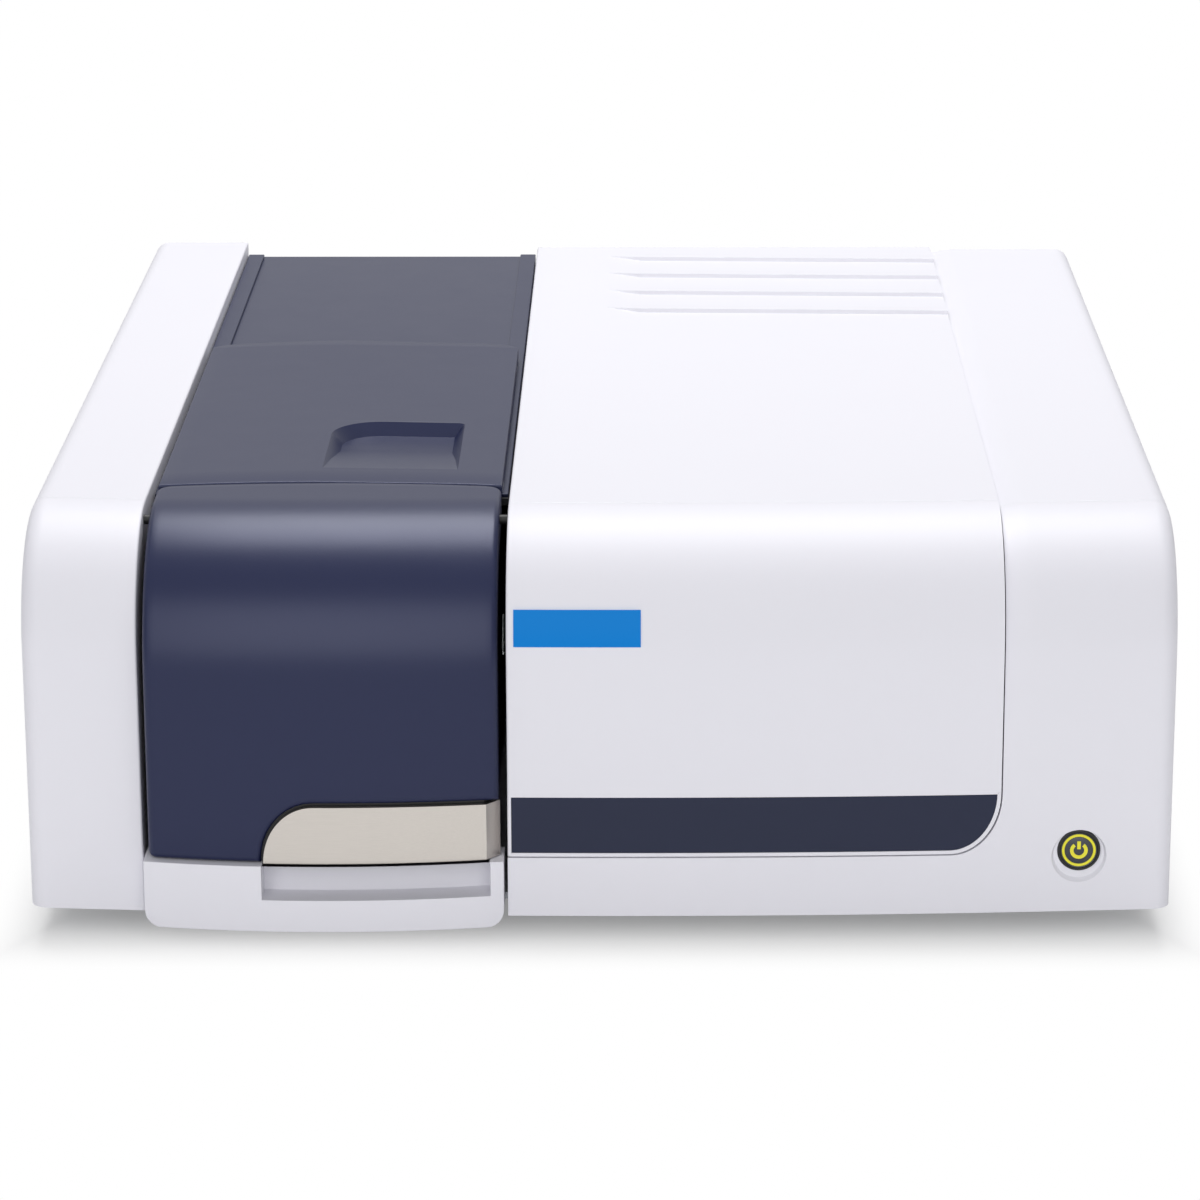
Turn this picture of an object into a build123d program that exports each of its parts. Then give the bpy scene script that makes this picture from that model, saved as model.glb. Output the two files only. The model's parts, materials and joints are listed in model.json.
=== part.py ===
from build123d import *
import os
from math import sqrt

# Bench-top ultraviolet and visible spectrophotometer, in millimetres.
# X runs to the viewer's right, Y to the back and Z up. The origin lies on the
# bench, under the middle of the case. The case is three blocks in a row: the
# detector housing, the sample bay with its lid and door, and the wide body
# that holds the optics and the electronics.

# Case
case_width = 477.0
case_depth = 567.0
case_top = 182.2
right_drop = 1.2
case_bottom = 18.0
case_wall = 3.0
back_step = 12.0
face_setback = 10.5
front_radius = 3000.0
front_roll = 51.8
outer_round = 7.0
inner_round = 4.0
edge_round = 1.0
seam = 0.6
seat = 0.3

# Sample bay, between the left housing and the centre cover
left_width = 48.5
bay_width = 151.5
bay_gap = 3.0
door_stand = 8.0
door_radius = 400.0
crown_radius = 1600.0
skin = 4.0
flange_wall = 2.5
flange_depth = 15.0
door_bottom = 43.9
seam_run = 78.0
seam_gap = 1.3
pivot_run = 48.0
pivot_drop = 6.2
pivot_radius = 2.0
bearing_fit = 0.05

# Lid, its finger recess, rails and deck
lid_skin = 2.6
lid_skirt = 2.6
lid_drop = 4.4
lid_length = 253.7
lid_bow_radius = 550.0
lid_corner = 10.0
recess_side = 19.5
recess_width = 58.0
recess_run = 99.7
recess_length = 78.0
recess_depth = 6.4
recess_round = 22.0
recess_wall = 1.7
recess_taper = 40.0
recess_ramp = 47.0
deck_drop = 7.2
deck_sheet = 3.0
rail_width = 8.0
rail_height = 1.5
glide_length = 16.0
glide_inset = 8.0
glide_lip = 1.5
seal_width = 5.0

# Handle and bumper below the door
handle_length = 97.3
magnet_x = 30.0
magnet_z = 100.0
magnet_width = 20.0
magnet_height = 8.0
stop_x = 60.0
stop_z = 75.0
stop_radius = 4.0
strike_sheet = 1.5
handle_rise = 24.6
handle_run = 20.8
handle_proud = 0.5
handle_sheet = 2.0
handle_gap = 1.2
handle_bevel = 5.5
bumper_low = 14.6
bumper_corner = 7.0
bumper_wall = 3.0
bumper_pocket_width = 94.0
bumper_pocket_side = 6.5
bumper_pocket_low = 27.5
bumper_pocket_depth = 14.0

# Centre cover, stripe, label and louvres
right_width = 72.0
cover_low = 44.2
cover_rim = 1.7
stripe_top = 70.0
stripe_run = 19.4
stripe_rise = 24.5
stripe_sheet = 1.5
label_side = 3.1
label_width = 52.2
label_drop = 46.9
label_height = 14.8
label_sheet = 0.6
louvre_count = 4
louvre_pitch = 38.5
louvre_run = 147.0
louvre_rise = 1.8
louvre_slant = 5.0
louvre_width = 150.5
louvre_tip = 16.0
louvre_sweep = 10.0
louvre_slot = 0.8
louvre_length = 31.5
louvre_margin = 4.0
louvre_throat = 5.0

# Base tray and feet
tray_low = 20.0
tray_sheet = 3.0
tray_setback = 15.0
tray_rim = 10.0
foot_side = 33.5
foot_front_inset = 83.5
foot_back_inset = 48.5
foot_radius = 14.0
screw_radius = 2.0
screw_head = 2.0
screw_side = 21.0
screw_inset = 13.0
screw_middle = 60.0
tray_slots = 9
tray_slot_length = 40.0
tray_slot_width = 5.0
tray_slot_pitch = 14.0

# Power button, on the right of the front
button_side = 39.0
button_z = 44.5
bezel_radius = 9.0
ring_outer = 7.2
ring_inner = 5.6
mark_radius = 3.7
mark_stroke = 1.5
button_travel = 2.0
bezel_proud = 1.0
bezel_length = 13.0
bezel_rim = 0.5
ring_sheet = 0.6
switch_body = 12.0
dish_radius = 12.5
dish_depth = 1.6

# Sample compartment
beam_z = 90.0
beam_run = 163.0
tub_wall = 2.5
tub_low = 58.0
tub_setback = 9.0
tub_length = 264.0
tub_front_top = 112.0
tub_side_gap = 0.7
tub_step_drop = 30.5
tub_post = 6.0
flange_setback = 84.0
cell_size = 12.7
cell_wall = 8.5
cell_floor = 75.0
cell_top = 107.0
base_plate_sheet = 5.0
base_plate_width = 124.0
base_plate_length = 170.0
accessory_x = 100.0
accessory_y = 140.0
accessory_hole = 2.1
window_radius = 9.0
window_hole = 7.0
window_sheet = 2.0

# Optics bench
bench_side = 15.9
bench_width = 180.0
bench_length = 390.0
bench_ahead = 75.0
bench_low = 49.0
bench_sheet = 6.0
mount_radius = 7.0
mount_inset = 12.0
lamp_side = 32.0
lamp_run = 285.0
lamp_width = 56.0
lamp_length = 50.0
lamp_height = 70.0
lamp_wall = 2.5
bulb_radius = 9.0
wheel_run = 230.0
wheel_radius = 30.0
wheel_pitch = 22.0
wheel_sheet = 3.0
filter_count = 6
filter_radius = 6.0
fold_run = 185.0
slit_side = 50.0
exit_slit_side = 36.0
slit_sheet = 2.0
slit_width = 1.0
slit_height = 8.0
mirror_side = 156.0
collimator_run = 172.0
camera_run = 18.0
mirror_size = 34.0
mirror_sheet = 8.0
grating_side = 72.0
grating_run = 95.0
grating_size = 30.0
grating_sheet = 6.0
table_radius = 20.0
splitter_side = 16.0
detector_ahead = 42.0
detector_size = 24.0
detector_depth = 28.0
detector_gap = 4.0
lens_radius = 6.0
lens_sheet = 3.0
motor_gap = 3.0
motor_bore = 8.0
motor_radius = 13.0
motor_length = 18.0
shaft_radius = 2.5
fold_size = 16.0
post_sheet = 5.0
mirror_ball = 250.0
mirror_sag = 1.0
table_sheet = 4.0
optics_sheet = 1.5
optics_room = 20.0

# Electronics and rear panel
panel_sheet = 3.0
panel_low = 24.0
panel_drop = 5.0
fan_x = 60.0
fan_z = 115.0
fan_size = 60.0
fan_corner = 3.0
fan_depth = 20.0
fan_bore = 28.0
fan_hub = 12.0
fan_blades = 7
inlet_side = 33.5
inlet_z = 50.0
inlet_width = 27.0
inlet_height = 20.0
switch_z = 82.0
switch_width = 21.0
switch_height = 15.0
usb_x = 130.0
usb_z = 50.0
usb_width = 12.5
usb_height = 11.0
inlet_depth = 20.0
inlet_rim = 5.0
inlet_flange = 1.5
inlet_pitch = 7.0
inlet_pin = 2.0
rocker_width = 15.0
rocker_radius = 6.0
rocker_pin = 1.0
rocker_tilt = 7.0
fan_strut = 3.0
guard_wire = 1.6
guard_rings = 4
board_front = -190.0
board_back = 130.0
board_low = 36.0
board_drop = 31.0
board_sheet = 1.6
board_inset = 8.0
standoff_length = 10.0
standoff_radius = 3.0
chip_rows = 2
chip_columns = 5
chip_size = 18.0
chip_sheet = 3.0
supply_gap = 4.0
supply_width = 46.0
supply_length = 96.0
supply_setback = 35.5
supply_height = 55.0
supply_slots = 9

# Places that follow from the sizes above
half_width = case_width / 2
front_y = -case_depth / 2
left_back = case_depth / 2
right_back = left_back - back_step
face_y = front_y + face_setback
right_top = case_top - right_drop
bay_left = left_width - half_width
bay_right = bay_left + bay_width
bay_centre = bay_left + bay_width / 2
module_left = bay_left + bay_gap
module_right = bay_right - bay_gap
door_face = face_y - door_stand
door_roll = front_roll + door_stand
half_module = bay_width / 2 - bay_gap
crown_rise = crown_radius - sqrt(crown_radius**2 - half_module**2)
module_top = case_top + crown_rise
cover_left = bay_right + seam
cover_right = half_width - right_width
seam_y = face_y + seam_run
pivot_y = face_y + pivot_run
pivot_z = case_top - pivot_drop
beam_y = face_y + beam_run
tub_front = face_y + tub_setback
tub_back = tub_front + tub_length
flange_front = face_y + flange_setback
backing_back = tub_front - edge_round
deck_top = case_top - deck_drop
tub_step = deck_top - tub_step_drop
right_left = cover_right + seam
tray_top = tray_low + tray_sheet
bench_top = bench_low + bench_sheet
lid_front = seam_y + seam_gap
lid_back = lid_front + lid_length
lid_low = case_top - lid_drop
recess_right = module_right - recess_side
recess_left = recess_right - recess_width
recess_back = lid_front + recess_run
handle_left = module_right - handle_length
bumper_pocket_right = bay_right - bumper_pocket_side - edge_round
bumper_pocket_left = bumper_pocket_right - bumper_pocket_width
label_left = cover_left + label_side
label_low = case_top - label_drop
louvre_front = right_back - louvre_run
louvre_left = cover_right - louvre_width
tray_front = face_y + tray_setback
foot_x = half_width - foot_side
foot_front = front_y + foot_front_inset
foot_back = left_back - foot_back_inset
button_x = half_width - button_side
inlet_x = half_width - inlet_side
supply_back = right_back - supply_setback
bench_left = cover_left + bench_side
bench_right = bench_left + bench_width
bench_front = beam_y - bench_ahead
bench_back = bench_front + bench_length
lamp_x = bench_left + lamp_side
lamp_y = beam_y + lamp_run
wheel_y = beam_y + wheel_run
fold_y = beam_y + fold_run
slit_x = bench_left + slit_side
exit_slit_x = bench_left + exit_slit_side
mirror_x = bench_left + mirror_side
collimator_y = beam_y + collimator_run
camera_y = beam_y + camera_run
grating_x = bench_left + grating_side
grating_y = beam_y + grating_run
splitter_x = bench_left + splitter_side
detector_y = beam_y - detector_ahead
handle_top = door_bottom + handle_rise
handle_turn = handle_left + handle_run
floor_top = tub_low + tub_wall
tub_left = module_left + flange_wall + tub_side_gap
tub_right = module_right - flange_wall - tub_side_gap
module_reach = 20.0
far = 400.0


def bow_y(x, centre, face, radius):
    """Y of a bowed front at x, where the foremost point of the bow is at face."""
    return face + radius - sqrt(radius**2 - (x - centre) ** 2)


def bow_plan(left, right, back, centre, face, radius):
    """Plan outline with a bowed front, straight sides and a straight back."""
    with BuildSketch() as plan:
        with BuildLine():
            ends = [(x, bow_y(x, centre, face, radius)) for x in (left, right)]
            middle = (left + right) / 2
            ThreePointArc(ends[0], (middle, bow_y(middle, centre, face, radius)), ends[1])
            Polyline(ends[1], (right, back), (left, back), ends[0])
        make_face()
    return plan.sketch


def case_form(left, right, back, top, inset=0.0, rounds=(0.0, 0.0)):
    """Solid of the bowed case between two sides, with front and top set in by inset."""
    low = case_bottom if inset == 0 else case_bottom - case_wall
    with BuildPart() as form:
        with BuildSketch(Plane.XY.offset(low)):
            add(bow_plan(left, right, back, 0, face_y + inset, front_radius - inset))
        extrude(amount=top - inset - low)
        roof = form.faces().sort_by(Axis.Z)[-1]
        fillet(roof.edges().sort_by(Axis.Y)[0], front_roll - inset)
        for side, size in zip((0, -1), rounds):
            if size > 0:
                flank = form.faces().filter_by(Axis.X).sort_by(Axis.X)[side]
                rim = flank.edges().filter_by(lambda edge: edge.center().Z > low + 1)
                fillet(rim, size)
    return form.part


def module_form(inset):
    """Solid of the bowed and crowned bay front, wider than the bay, set in by inset."""
    left = module_left - module_reach
    right = module_right + module_reach
    reach = right - bay_centre
    radius = crown_radius - inset
    top = module_top - inset
    side_z = top - radius + sqrt(radius**2 - reach**2)
    with BuildPart() as form:
        with BuildSketch():
            add(bow_plan(left, right, far, bay_centre, door_face + inset, door_radius - inset))
        extrude(amount=top + module_reach)
        with BuildSketch(Plane.XZ.offset(-far)):
            with BuildLine():
                ThreePointArc((left, side_z), (bay_centre, top), (right, side_z))
                Polyline((right, side_z), (right, far), (left, far), (left, side_z))
            make_face()
        extrude(amount=2 * far, mode=Mode.SUBTRACT)
        high = form.edges().filter_by(lambda edge: edge.center().Z > side_z - 1)
        fillet(high.sort_by(Axis.Y)[0], door_roll - inset)
    return form.part


def block(x0, x1, y0, y1, z0, z1, mode=Mode.ADD):
    """Box between two corners, in the piece that is being built."""
    with Locations(((x0 + x1) / 2, (y0 + y1) / 2, (z0 + z1) / 2)):
        Box(x1 - x0, y1 - y0, z1 - z0, mode=mode)


def rod(start, end, radius, mode=Mode.ADD):
    """Cylinder from one point to another, in the piece that is being built."""
    reach = Vector(*end) - Vector(*start)
    with Locations(Plane(origin=start, z_dir=reach)):
        Cylinder(radius, reach.length, align=(Align.CENTER, Align.CENTER, Align.MIN), mode=mode)


def band_profile(left, right, low, high, run, rise):
    """Front view of a band whose lower right corner is a quarter ellipse."""
    with BuildSketch() as profile:
        with BuildLine():
            Polyline((right, low + rise), (right, high), (left, high), (left, low), (right - run, low))
            EllipticalCenterArc((right - run, low + rise), run, rise, start_angle=270, arc_size=90)
        make_face()
    return profile.sketch


def handle_profile(gap):
    """Front view of the handle, its upper left corner a quarter ellipse, grown by gap."""
    reach = module_right + handle_proud + gap - handle_turn
    with BuildSketch() as profile:
        with Locations((handle_turn, door_bottom)):
            Ellipse(handle_run + gap, handle_rise + gap)
            Rectangle(far, far, align=(Align.MAX, Align.MIN), mode=Mode.INTERSECT)
            Rectangle(reach, handle_rise + gap, align=(Align.MIN, Align.MIN))
        if gap > 0:
            with Locations((handle_left - gap, door_bottom)):
                Rectangle(handle_run + gap + reach, gap, align=(Align.MIN, Align.MAX))
    return profile.sketch


def handle_plan(inset):
    """Plan of the door front behind the handle, with its right corner bevelled."""
    right = module_right - inset
    start = (right, bow_y(right, bay_centre, door_face + inset, door_radius - inset) + handle_bevel)
    turn_x = right - handle_bevel
    turn = (turn_x, bow_y(turn_x, bay_centre, door_face + inset, door_radius - inset))
    left = module_left - module_reach
    end = (left, bow_y(left, bay_centre, door_face + inset, door_radius - inset))
    middle_x = (turn_x + left) / 2
    middle = (middle_x, bow_y(middle_x, bay_centre, door_face + inset, door_radius - inset))
    with BuildSketch() as plan:
        with BuildLine():
            ThreePointArc(turn, middle, end)
            Polyline(end, (left, backing_back), (right, backing_back), start, turn)
        make_face()
    return plan.sketch


def mirror_plane(place, first, second):
    """Plane on a mirror's face, its Z axis along the mirror's normal, its X axis up."""
    ways = [(Vector(*other) - Vector(*place)).normalized() for other in (first, second)]
    return Plane(origin=(*place, beam_z), x_dir=(0, 0, 1), z_dir=ways[0] + ways[1])


def mirror_block(plane, size, sheet):
    """Flat block behind a mirror's face, in the piece that is being built."""
    with BuildSketch(plane) as face:
        Rectangle(size, size)
    extrude(face.sketch, amount=-sheet)


def mirror_post(plane, size, sheet):
    """Post behind a mirror, from the bench to the mirror's top."""
    height = beam_z - bench_top + size / 2
    with BuildSketch(plane.offset(-sheet)) as face:
        with Locations((size / 2 - height / 2, 0)):
            Rectangle(height, size)
    extrude(face.sketch, amount=-post_sheet)


def recess_form(grow):
    """Finger recess with sloping sides and a floor that rises to the front, grown by a wall."""
    floor_z = module_top - recess_depth - grow
    front = recess_back - recess_length
    with BuildPart() as form:
        with BuildSketch(Plane.XY.offset(module_top + edge_round)) as mouth:
            with BuildLine():
                Polyline((recess_left - grow, front - grow), (recess_right + grow, front - grow),
                         (recess_right + grow, recess_back + grow), (recess_left - grow, recess_back + grow),
                         (recess_left - grow, front - grow))
            make_face()
            fillet(mouth.vertices().group_by(Axis.Y)[-1].sort_by(Axis.X)[0], recess_round)
        extrude(amount=-(recess_depth + edge_round + grow), taper=recess_taper)
        with BuildSketch(Plane.YZ.offset(-far)):
            with BuildLine():
                Polyline((recess_back + far, floor_z), (front + recess_ramp, floor_z),
                         (front - grow, module_top - grow), (front - grow, floor_z - far),
                         (recess_back + far, floor_z - far), (recess_back + far, floor_z))
            make_face()
        extrude(amount=2 * far, mode=Mode.SUBTRACT)
    return form.part


def stripe_form(grow):
    """Skin of the cover's front within the stripe's outline, grown by grow."""
    with BuildPart() as form:
        add(case_form(cover_left, cover_right, 0, case_top))
        add(case_form(cover_left - 1, cover_right + 1, 0, case_top, stripe_sheet), mode=Mode.SUBTRACT)
        with BuildSketch(Plane.XZ):
            add(band_profile(cover_left + cover_rim - grow, cover_right - cover_rim + grow,
                             cover_low + cover_rim - grow, stripe_top + grow, stripe_run + grow,
                             stripe_rise + grow))
        extrude(amount=far, mode=Mode.INTERSECT)
    return form.part


def door_flanges():
    """The two stiffening flanges inside the door's sides."""
    with BuildPart() as form:
        add(module_form(skin / 2))
        add(module_form(flange_depth), mode=Mode.SUBTRACT)
        block(module_left, module_left + flange_wall, front_y, seam_y, door_bottom, far,
              Mode.INTERSECT)
        mirror(about=Plane.YZ.offset(bay_centre))
    return form.part


def handle_backing():
    """Wall of the door that closes the handle's seat from behind."""
    handle_back = handle_sheet - handle_proud
    with BuildPart() as form:
        with BuildSketch(Plane.XY.offset(door_bottom)):
            add(handle_plan(handle_back))
            add(handle_plan(handle_back + flange_wall), mode=Mode.SUBTRACT)
        extrude(amount=far)
        with BuildSketch(Plane.XZ):
            add(handle_profile(handle_gap + edge_round))
        extrude(amount=far, mode=Mode.INTERSECT)
    return form.part


def lid_plan(inset):
    """Plan outline of the lid with its bowed and rounded back, set in by inset."""
    with BuildSketch() as plan:
        with BuildLine():
            side_y = lid_back - lid_bow_radius + sqrt(lid_bow_radius**2 - half_module**2)
            Polyline((module_right, side_y), (module_right, lid_front), (module_left, lid_front),
                     (module_left, side_y))
            ThreePointArc((module_left, side_y), (bay_centre, lid_back), (module_right, side_y))
        make_face()
        fillet(plan.vertices().group_by(Axis.Y)[-1], lid_corner)
        if inset > 0:
            offset(amount=-inset, mode=Mode.REPLACE)
    return plan.sketch


def lid_hollow():
    """Room under the lid's skin, inside its skirts."""
    with BuildPart() as form:
        with BuildSketch(Plane.XY.offset(lid_low - 1)):
            add(lid_plan(lid_skirt))
        extrude(amount=far)
        add(module_form(lid_skin), mode=Mode.INTERSECT)
    return form.part


def recess_pan():
    """Pan of the finger recess, below the lid's skin."""
    with BuildPart() as form:
        add(recess_form(recess_wall))
        add(module_form(lid_skin / 2), mode=Mode.INTERSECT)
    return form.part


# Base tray: a folded sheet that carries the whole instrument
tray_side = half_width - case_wall - seat
tray_left_back = left_back - case_wall - seat
screw_x = tray_side - screw_side
screw_places = [(x, y) for x in (-screw_x, -screw_middle, screw_middle, screw_x)
                for y in (tray_front + screw_inset, right_back - screw_inset - panel_sheet)]
with BuildPart() as base_tray:
    with BuildSketch(Plane.XY.offset(tray_low)):
        with BuildLine():
            Polyline((-tray_side, tray_front), (tray_side, tray_front), (tray_side, right_back),
                     (cover_left, right_back), (cover_left, tray_left_back),
                     (-tray_side, tray_left_back), (-tray_side, tray_front))
        make_face()
    extrude(amount=tray_sheet)
    for side in (-1, 1):
        outer = side * tray_side
        inner = side * (tray_side - tray_sheet)
        block(min(outer, inner), max(outer, inner), tray_front, right_back - panel_sheet - seat,
              tray_top, tray_top + tray_rim)
    with Locations(*[(x, y, tray_top) for x, y in screw_places]):
        Hole(screw_radius + seat / 10, depth=tray_sheet)
    with BuildSketch(Plane.XY.offset(tray_low)):
        with Locations((foot_x, 0)):
            with GridLocations(0, tray_slot_pitch, 1, tray_slots):
                SlotOverall(tray_slot_length, tray_slot_width)
    extrude(amount=tray_sheet, mode=Mode.SUBTRACT)

# Feet: four rubber pads under the tray
with BuildPart() as feet:
    for x in (-foot_x, foot_x):
        for y in (foot_front, foot_back):
            rod((x, y, 0), (x, y, tray_low), foot_radius)
    chamfer(feet.edges().group_by(Axis.Z)[0], 2)

# Screws that hold the housings to the tray
with BuildPart() as case_screws:
    for x, y in screw_places:
        rod((x, y, tray_low - screw_head), (x, y, tray_low), 2 * screw_radius)
        rod((x, y, tray_low), (x, y, tray_top + screw_radius), screw_radius)

# Left housing: the shell over the sample detector
with BuildPart() as left_housing:
    add(case_form(-half_width, bay_left, left_back, case_top, 0, (outer_round, edge_round)))
    add(case_form(-half_width + case_wall, bay_left - case_wall, left_back - case_wall, case_top,
                  case_wall), mode=Mode.SUBTRACT)
    block(-half_width + case_wall, bay_left + 1, tray_front - seat, left_back - case_wall,
          0, tray_top + seat, Mode.SUBTRACT)
    rod((bay_left - case_wall - 1, beam_y, beam_z), (bay_left + 1, beam_y, beam_z), window_hole,
        Mode.SUBTRACT)
    rod((bay_left - case_wall - 1, pivot_y, pivot_z), (bay_left + 1, pivot_y, pivot_z), pivot_radius,
        Mode.SUBTRACT)

# Right housing: the electronics' shell, with the front band and sill below the cover
cover_shape = band_profile(cover_left, cover_right, cover_low, far, stripe_run + cover_rim,
                           stripe_rise + cover_rim)
corner_top = cover_low + stripe_rise + cover_rim
with BuildPart() as right_housing:
    add(case_form(cover_left, half_width, right_back, corner_top + front_roll, 0, (0, outer_round)))
    add(case_form(cover_left + case_wall, half_width - case_wall, right_back + 1, far, case_wall),
        mode=Mode.SUBTRACT)
    block(-half_width, half_width + 1, front_y, left_back, corner_top, far, Mode.SUBTRACT)
    add(case_form(right_left, half_width, right_back, right_top, 0, (inner_round, outer_round)))
    add(case_form(right_left + case_wall, half_width - case_wall, right_back + 1, right_top, case_wall),
        mode=Mode.SUBTRACT)
    with BuildSketch(Plane.XZ.offset(-far)):
        add(band_profile(cover_left - 1, right_left, cover_low - seam, far, stripe_run + cover_rim,
                         stripe_rise + cover_rim))
    extrude(amount=2 * far, mode=Mode.SUBTRACT)
    block(cover_left - 1, half_width - case_wall, tray_front - seat, right_back + 1, 0,
          tray_top + seat, Mode.SUBTRACT)
    block(cover_left - 1, half_width - case_wall, right_back - panel_sheet - seat, right_back + 1, 0,
          right_top - case_wall, Mode.SUBTRACT)
    button_y = bow_y(button_x, 0, face_y, front_radius)
    dish_ball = (dish_radius**2 + dish_depth**2) / (2 * dish_depth)
    with Locations((button_x, button_y - dish_ball + dish_depth, button_z)):
        Sphere(dish_ball, mode=Mode.SUBTRACT)
    rod((button_x, button_y - 5, button_z), (button_x, button_y + 10, button_z), bezel_radius,
        Mode.SUBTRACT)

# Centre cover: the wide top over the optics, with louvres at the back
with BuildPart() as centre_cover:
    add(case_form(cover_left, cover_right, right_back, case_top, 0, (edge_round, edge_round)))
    for index in range(louvre_count):
        ridge = louvre_front + index * louvre_pitch
        low = case_top - louvre_rise
        for x0, y0, x1, y1 in (
            (louvre_left, ridge, cover_right, ridge - louvre_slant),
            (louvre_left - louvre_tip, ridge + louvre_sweep, louvre_left, ridge),
        ):
            rises = (louvre_rise, louvre_rise) if x0 == louvre_left else (0.05, louvre_rise)
            with BuildSketch(Plane.YZ.offset(x0)):
                Polygon((y0, low), (y0, case_top + rises[0]), (ridge + louvre_length, case_top),
                        (ridge + louvre_length, low), align=None)
            with BuildSketch(Plane.YZ.offset(x1)):
                Polygon((y1, low), (y1, case_top + rises[1]), (ridge + louvre_length, case_top),
                        (ridge + louvre_length, low), align=None)
            loft(ruled=True)
    add(case_form(cover_left + case_wall, cover_right - case_wall, right_back + 1, case_top, case_wall),
        mode=Mode.SUBTRACT)
    for index in range(louvre_count):
        ridge = louvre_front + index * louvre_pitch
        left = louvre_left + louvre_margin
        right = cover_right - case_wall - louvre_margin
        block(left, right, ridge - louvre_slant - 1, ridge + louvre_throat, case_top,
              case_top + louvre_slot, Mode.SUBTRACT)
        block(left, right, ridge + 1, ridge + louvre_throat, case_top - case_wall - 1,
              case_top + louvre_slot, Mode.SUBTRACT)
    with BuildSketch(Plane.XZ.offset(-far)):
        add(cover_shape)
    extrude(amount=2 * far, mode=Mode.INTERSECT)
    block(cover_right - case_wall - 1, cover_right + 1, right_back - panel_sheet - seat, right_back + 1,
          0, case_top - case_wall, Mode.SUBTRACT)
    add(stripe_form(seat / 2), mode=Mode.SUBTRACT)
    rod((cover_left - 1, beam_y, beam_z), (cover_left + case_wall + 1, beam_y, beam_z), window_hole,
        Mode.SUBTRACT)
    rod((cover_left - 1, pivot_y, pivot_z), (cover_left + case_wall + 1, pivot_y, pivot_z),
        pivot_radius, Mode.SUBTRACT)

# Dark stripe let into the cover's front
with BuildPart() as front_stripe:
    add(stripe_form(0))

# Bare label plate on the roll of the cover's front
with BuildPart() as label_plate:
    add(case_form(cover_left, cover_right, 0, case_top, -label_sheet))
    add(case_form(cover_left - 1, cover_right + 1, 1, case_top), mode=Mode.SUBTRACT)
    block(label_left, label_left + label_width, front_y, 0, label_low, label_low + label_height,
          Mode.INTERSECT)

# Rear deck: the sheet that the open lid lies over, folded down at the back
deck_left = bay_left + seam
deck_right = bay_right - seam
with BuildPart() as rear_deck:
    block(deck_left, deck_right, tub_back + deck_sheet, left_back, deck_top - deck_sheet, deck_top)
    block(deck_left, deck_right, left_back - deck_sheet, left_back, tray_low, deck_top)
    fillet(rear_deck.edges().filter_by(Axis.X).group_by(Axis.Z)[-1].sort_by(Axis.Y)[-1], deck_sheet - 1)

# Rails: two strips on which the lid slides
with BuildPart() as slide_rails:
    for x0, x1 in ((deck_left, deck_left + rail_width), (deck_right - rail_width, deck_right)):
        block(x0, x1, flange_front + 2, left_back - deck_sheet, deck_top, deck_top + rail_height)

# Compartment tub: the light-tight well of the sample bay, on four posts
with BuildPart() as compartment_tub:
    block(tub_left, tub_right, tub_front, tub_back, tub_low, deck_top)
    block(tub_left + tub_wall, tub_right - tub_wall, tub_front + tub_wall, tub_back - tub_wall,
          floor_top, far, Mode.SUBTRACT)
    block(tub_left - 1, tub_right + 1, tub_front - 1, seam_y + seam_gap, tub_step, far, Mode.SUBTRACT)
    block(tub_left + tub_wall, tub_right - tub_wall, tub_front - 1, tub_front + tub_wall,
          tub_front_top, far, Mode.SUBTRACT)
    for x0, x1 in ((deck_left, tub_left + tub_wall), (tub_right - tub_wall, deck_right)):
        block(x0, x1, flange_front, tub_back + deck_sheet - seat, deck_top - deck_sheet, deck_top)
    block(deck_left, deck_right, tub_back - tub_wall, tub_back + deck_sheet - seat,
          deck_top - deck_sheet, deck_top)
    for x in (tub_left + tub_post, tub_right - tub_post):
        for y in (tray_front + 2 * tub_post, tub_back - 2 * tub_post):
            rod((x, y, tray_top), (x, y, tub_low), tub_post)
    rod((tub_left - 1, beam_y, beam_z), (tub_right + 1, beam_y, beam_z), window_hole, Mode.SUBTRACT)

# Windows: quartz discs over the beam holes of the tub
with BuildPart() as beam_windows:
    rod((tub_left - window_sheet, beam_y, beam_z), (tub_left, beam_y, beam_z), window_radius)
    rod((tub_right, beam_y, beam_z), (tub_right + window_sheet, beam_y, beam_z), window_radius)

# Sample base plate with its accessory screw holes
plate_top = floor_top + base_plate_sheet
with BuildPart() as sample_base:
    with BuildSketch(Plane.XY.offset(floor_top)):
        with Locations((bay_centre, beam_y)):
            RectangleRounded(base_plate_width, base_plate_length, base_plate_sheet)
    extrude(amount=base_plate_sheet)
    with Locations((bay_centre, beam_y, plate_top)):
        with GridLocations(accessory_x, accessory_y, 2, 2):
            Hole(accessory_hole, depth=base_plate_sheet)

# Cell holder: the block with the square well for a cuvette
cell_block = cell_size + 2 * cell_wall
with BuildPart() as cell_holder:
    with BuildSketch(Plane.XY.offset(plate_top)):
        with Locations((bay_centre, beam_y)):
            RectangleRounded(cell_block + 2 * base_plate_sheet, cell_block + 2 * base_plate_sheet,
                             base_plate_sheet)
    extrude(amount=base_plate_sheet)
    with BuildSketch(Plane.XY.offset(plate_top)):
        with Locations((bay_centre, beam_y)):
            Rectangle(cell_block, cell_block)
    extrude(amount=cell_top - plate_top)
    chamfer(cell_holder.edges().group_by(Axis.Z)[-1], 1)
    with BuildSketch(Plane.XY.offset(cell_floor)):
        with Locations((bay_centre, beam_y)):
            Rectangle(cell_size, cell_size)
    extrude(amount=cell_top, mode=Mode.SUBTRACT)
    rod((bay_centre - cell_block, beam_y, beam_z), (bay_centre + cell_block, beam_y, beam_z),
        cell_size / 3, Mode.SUBTRACT)

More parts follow.
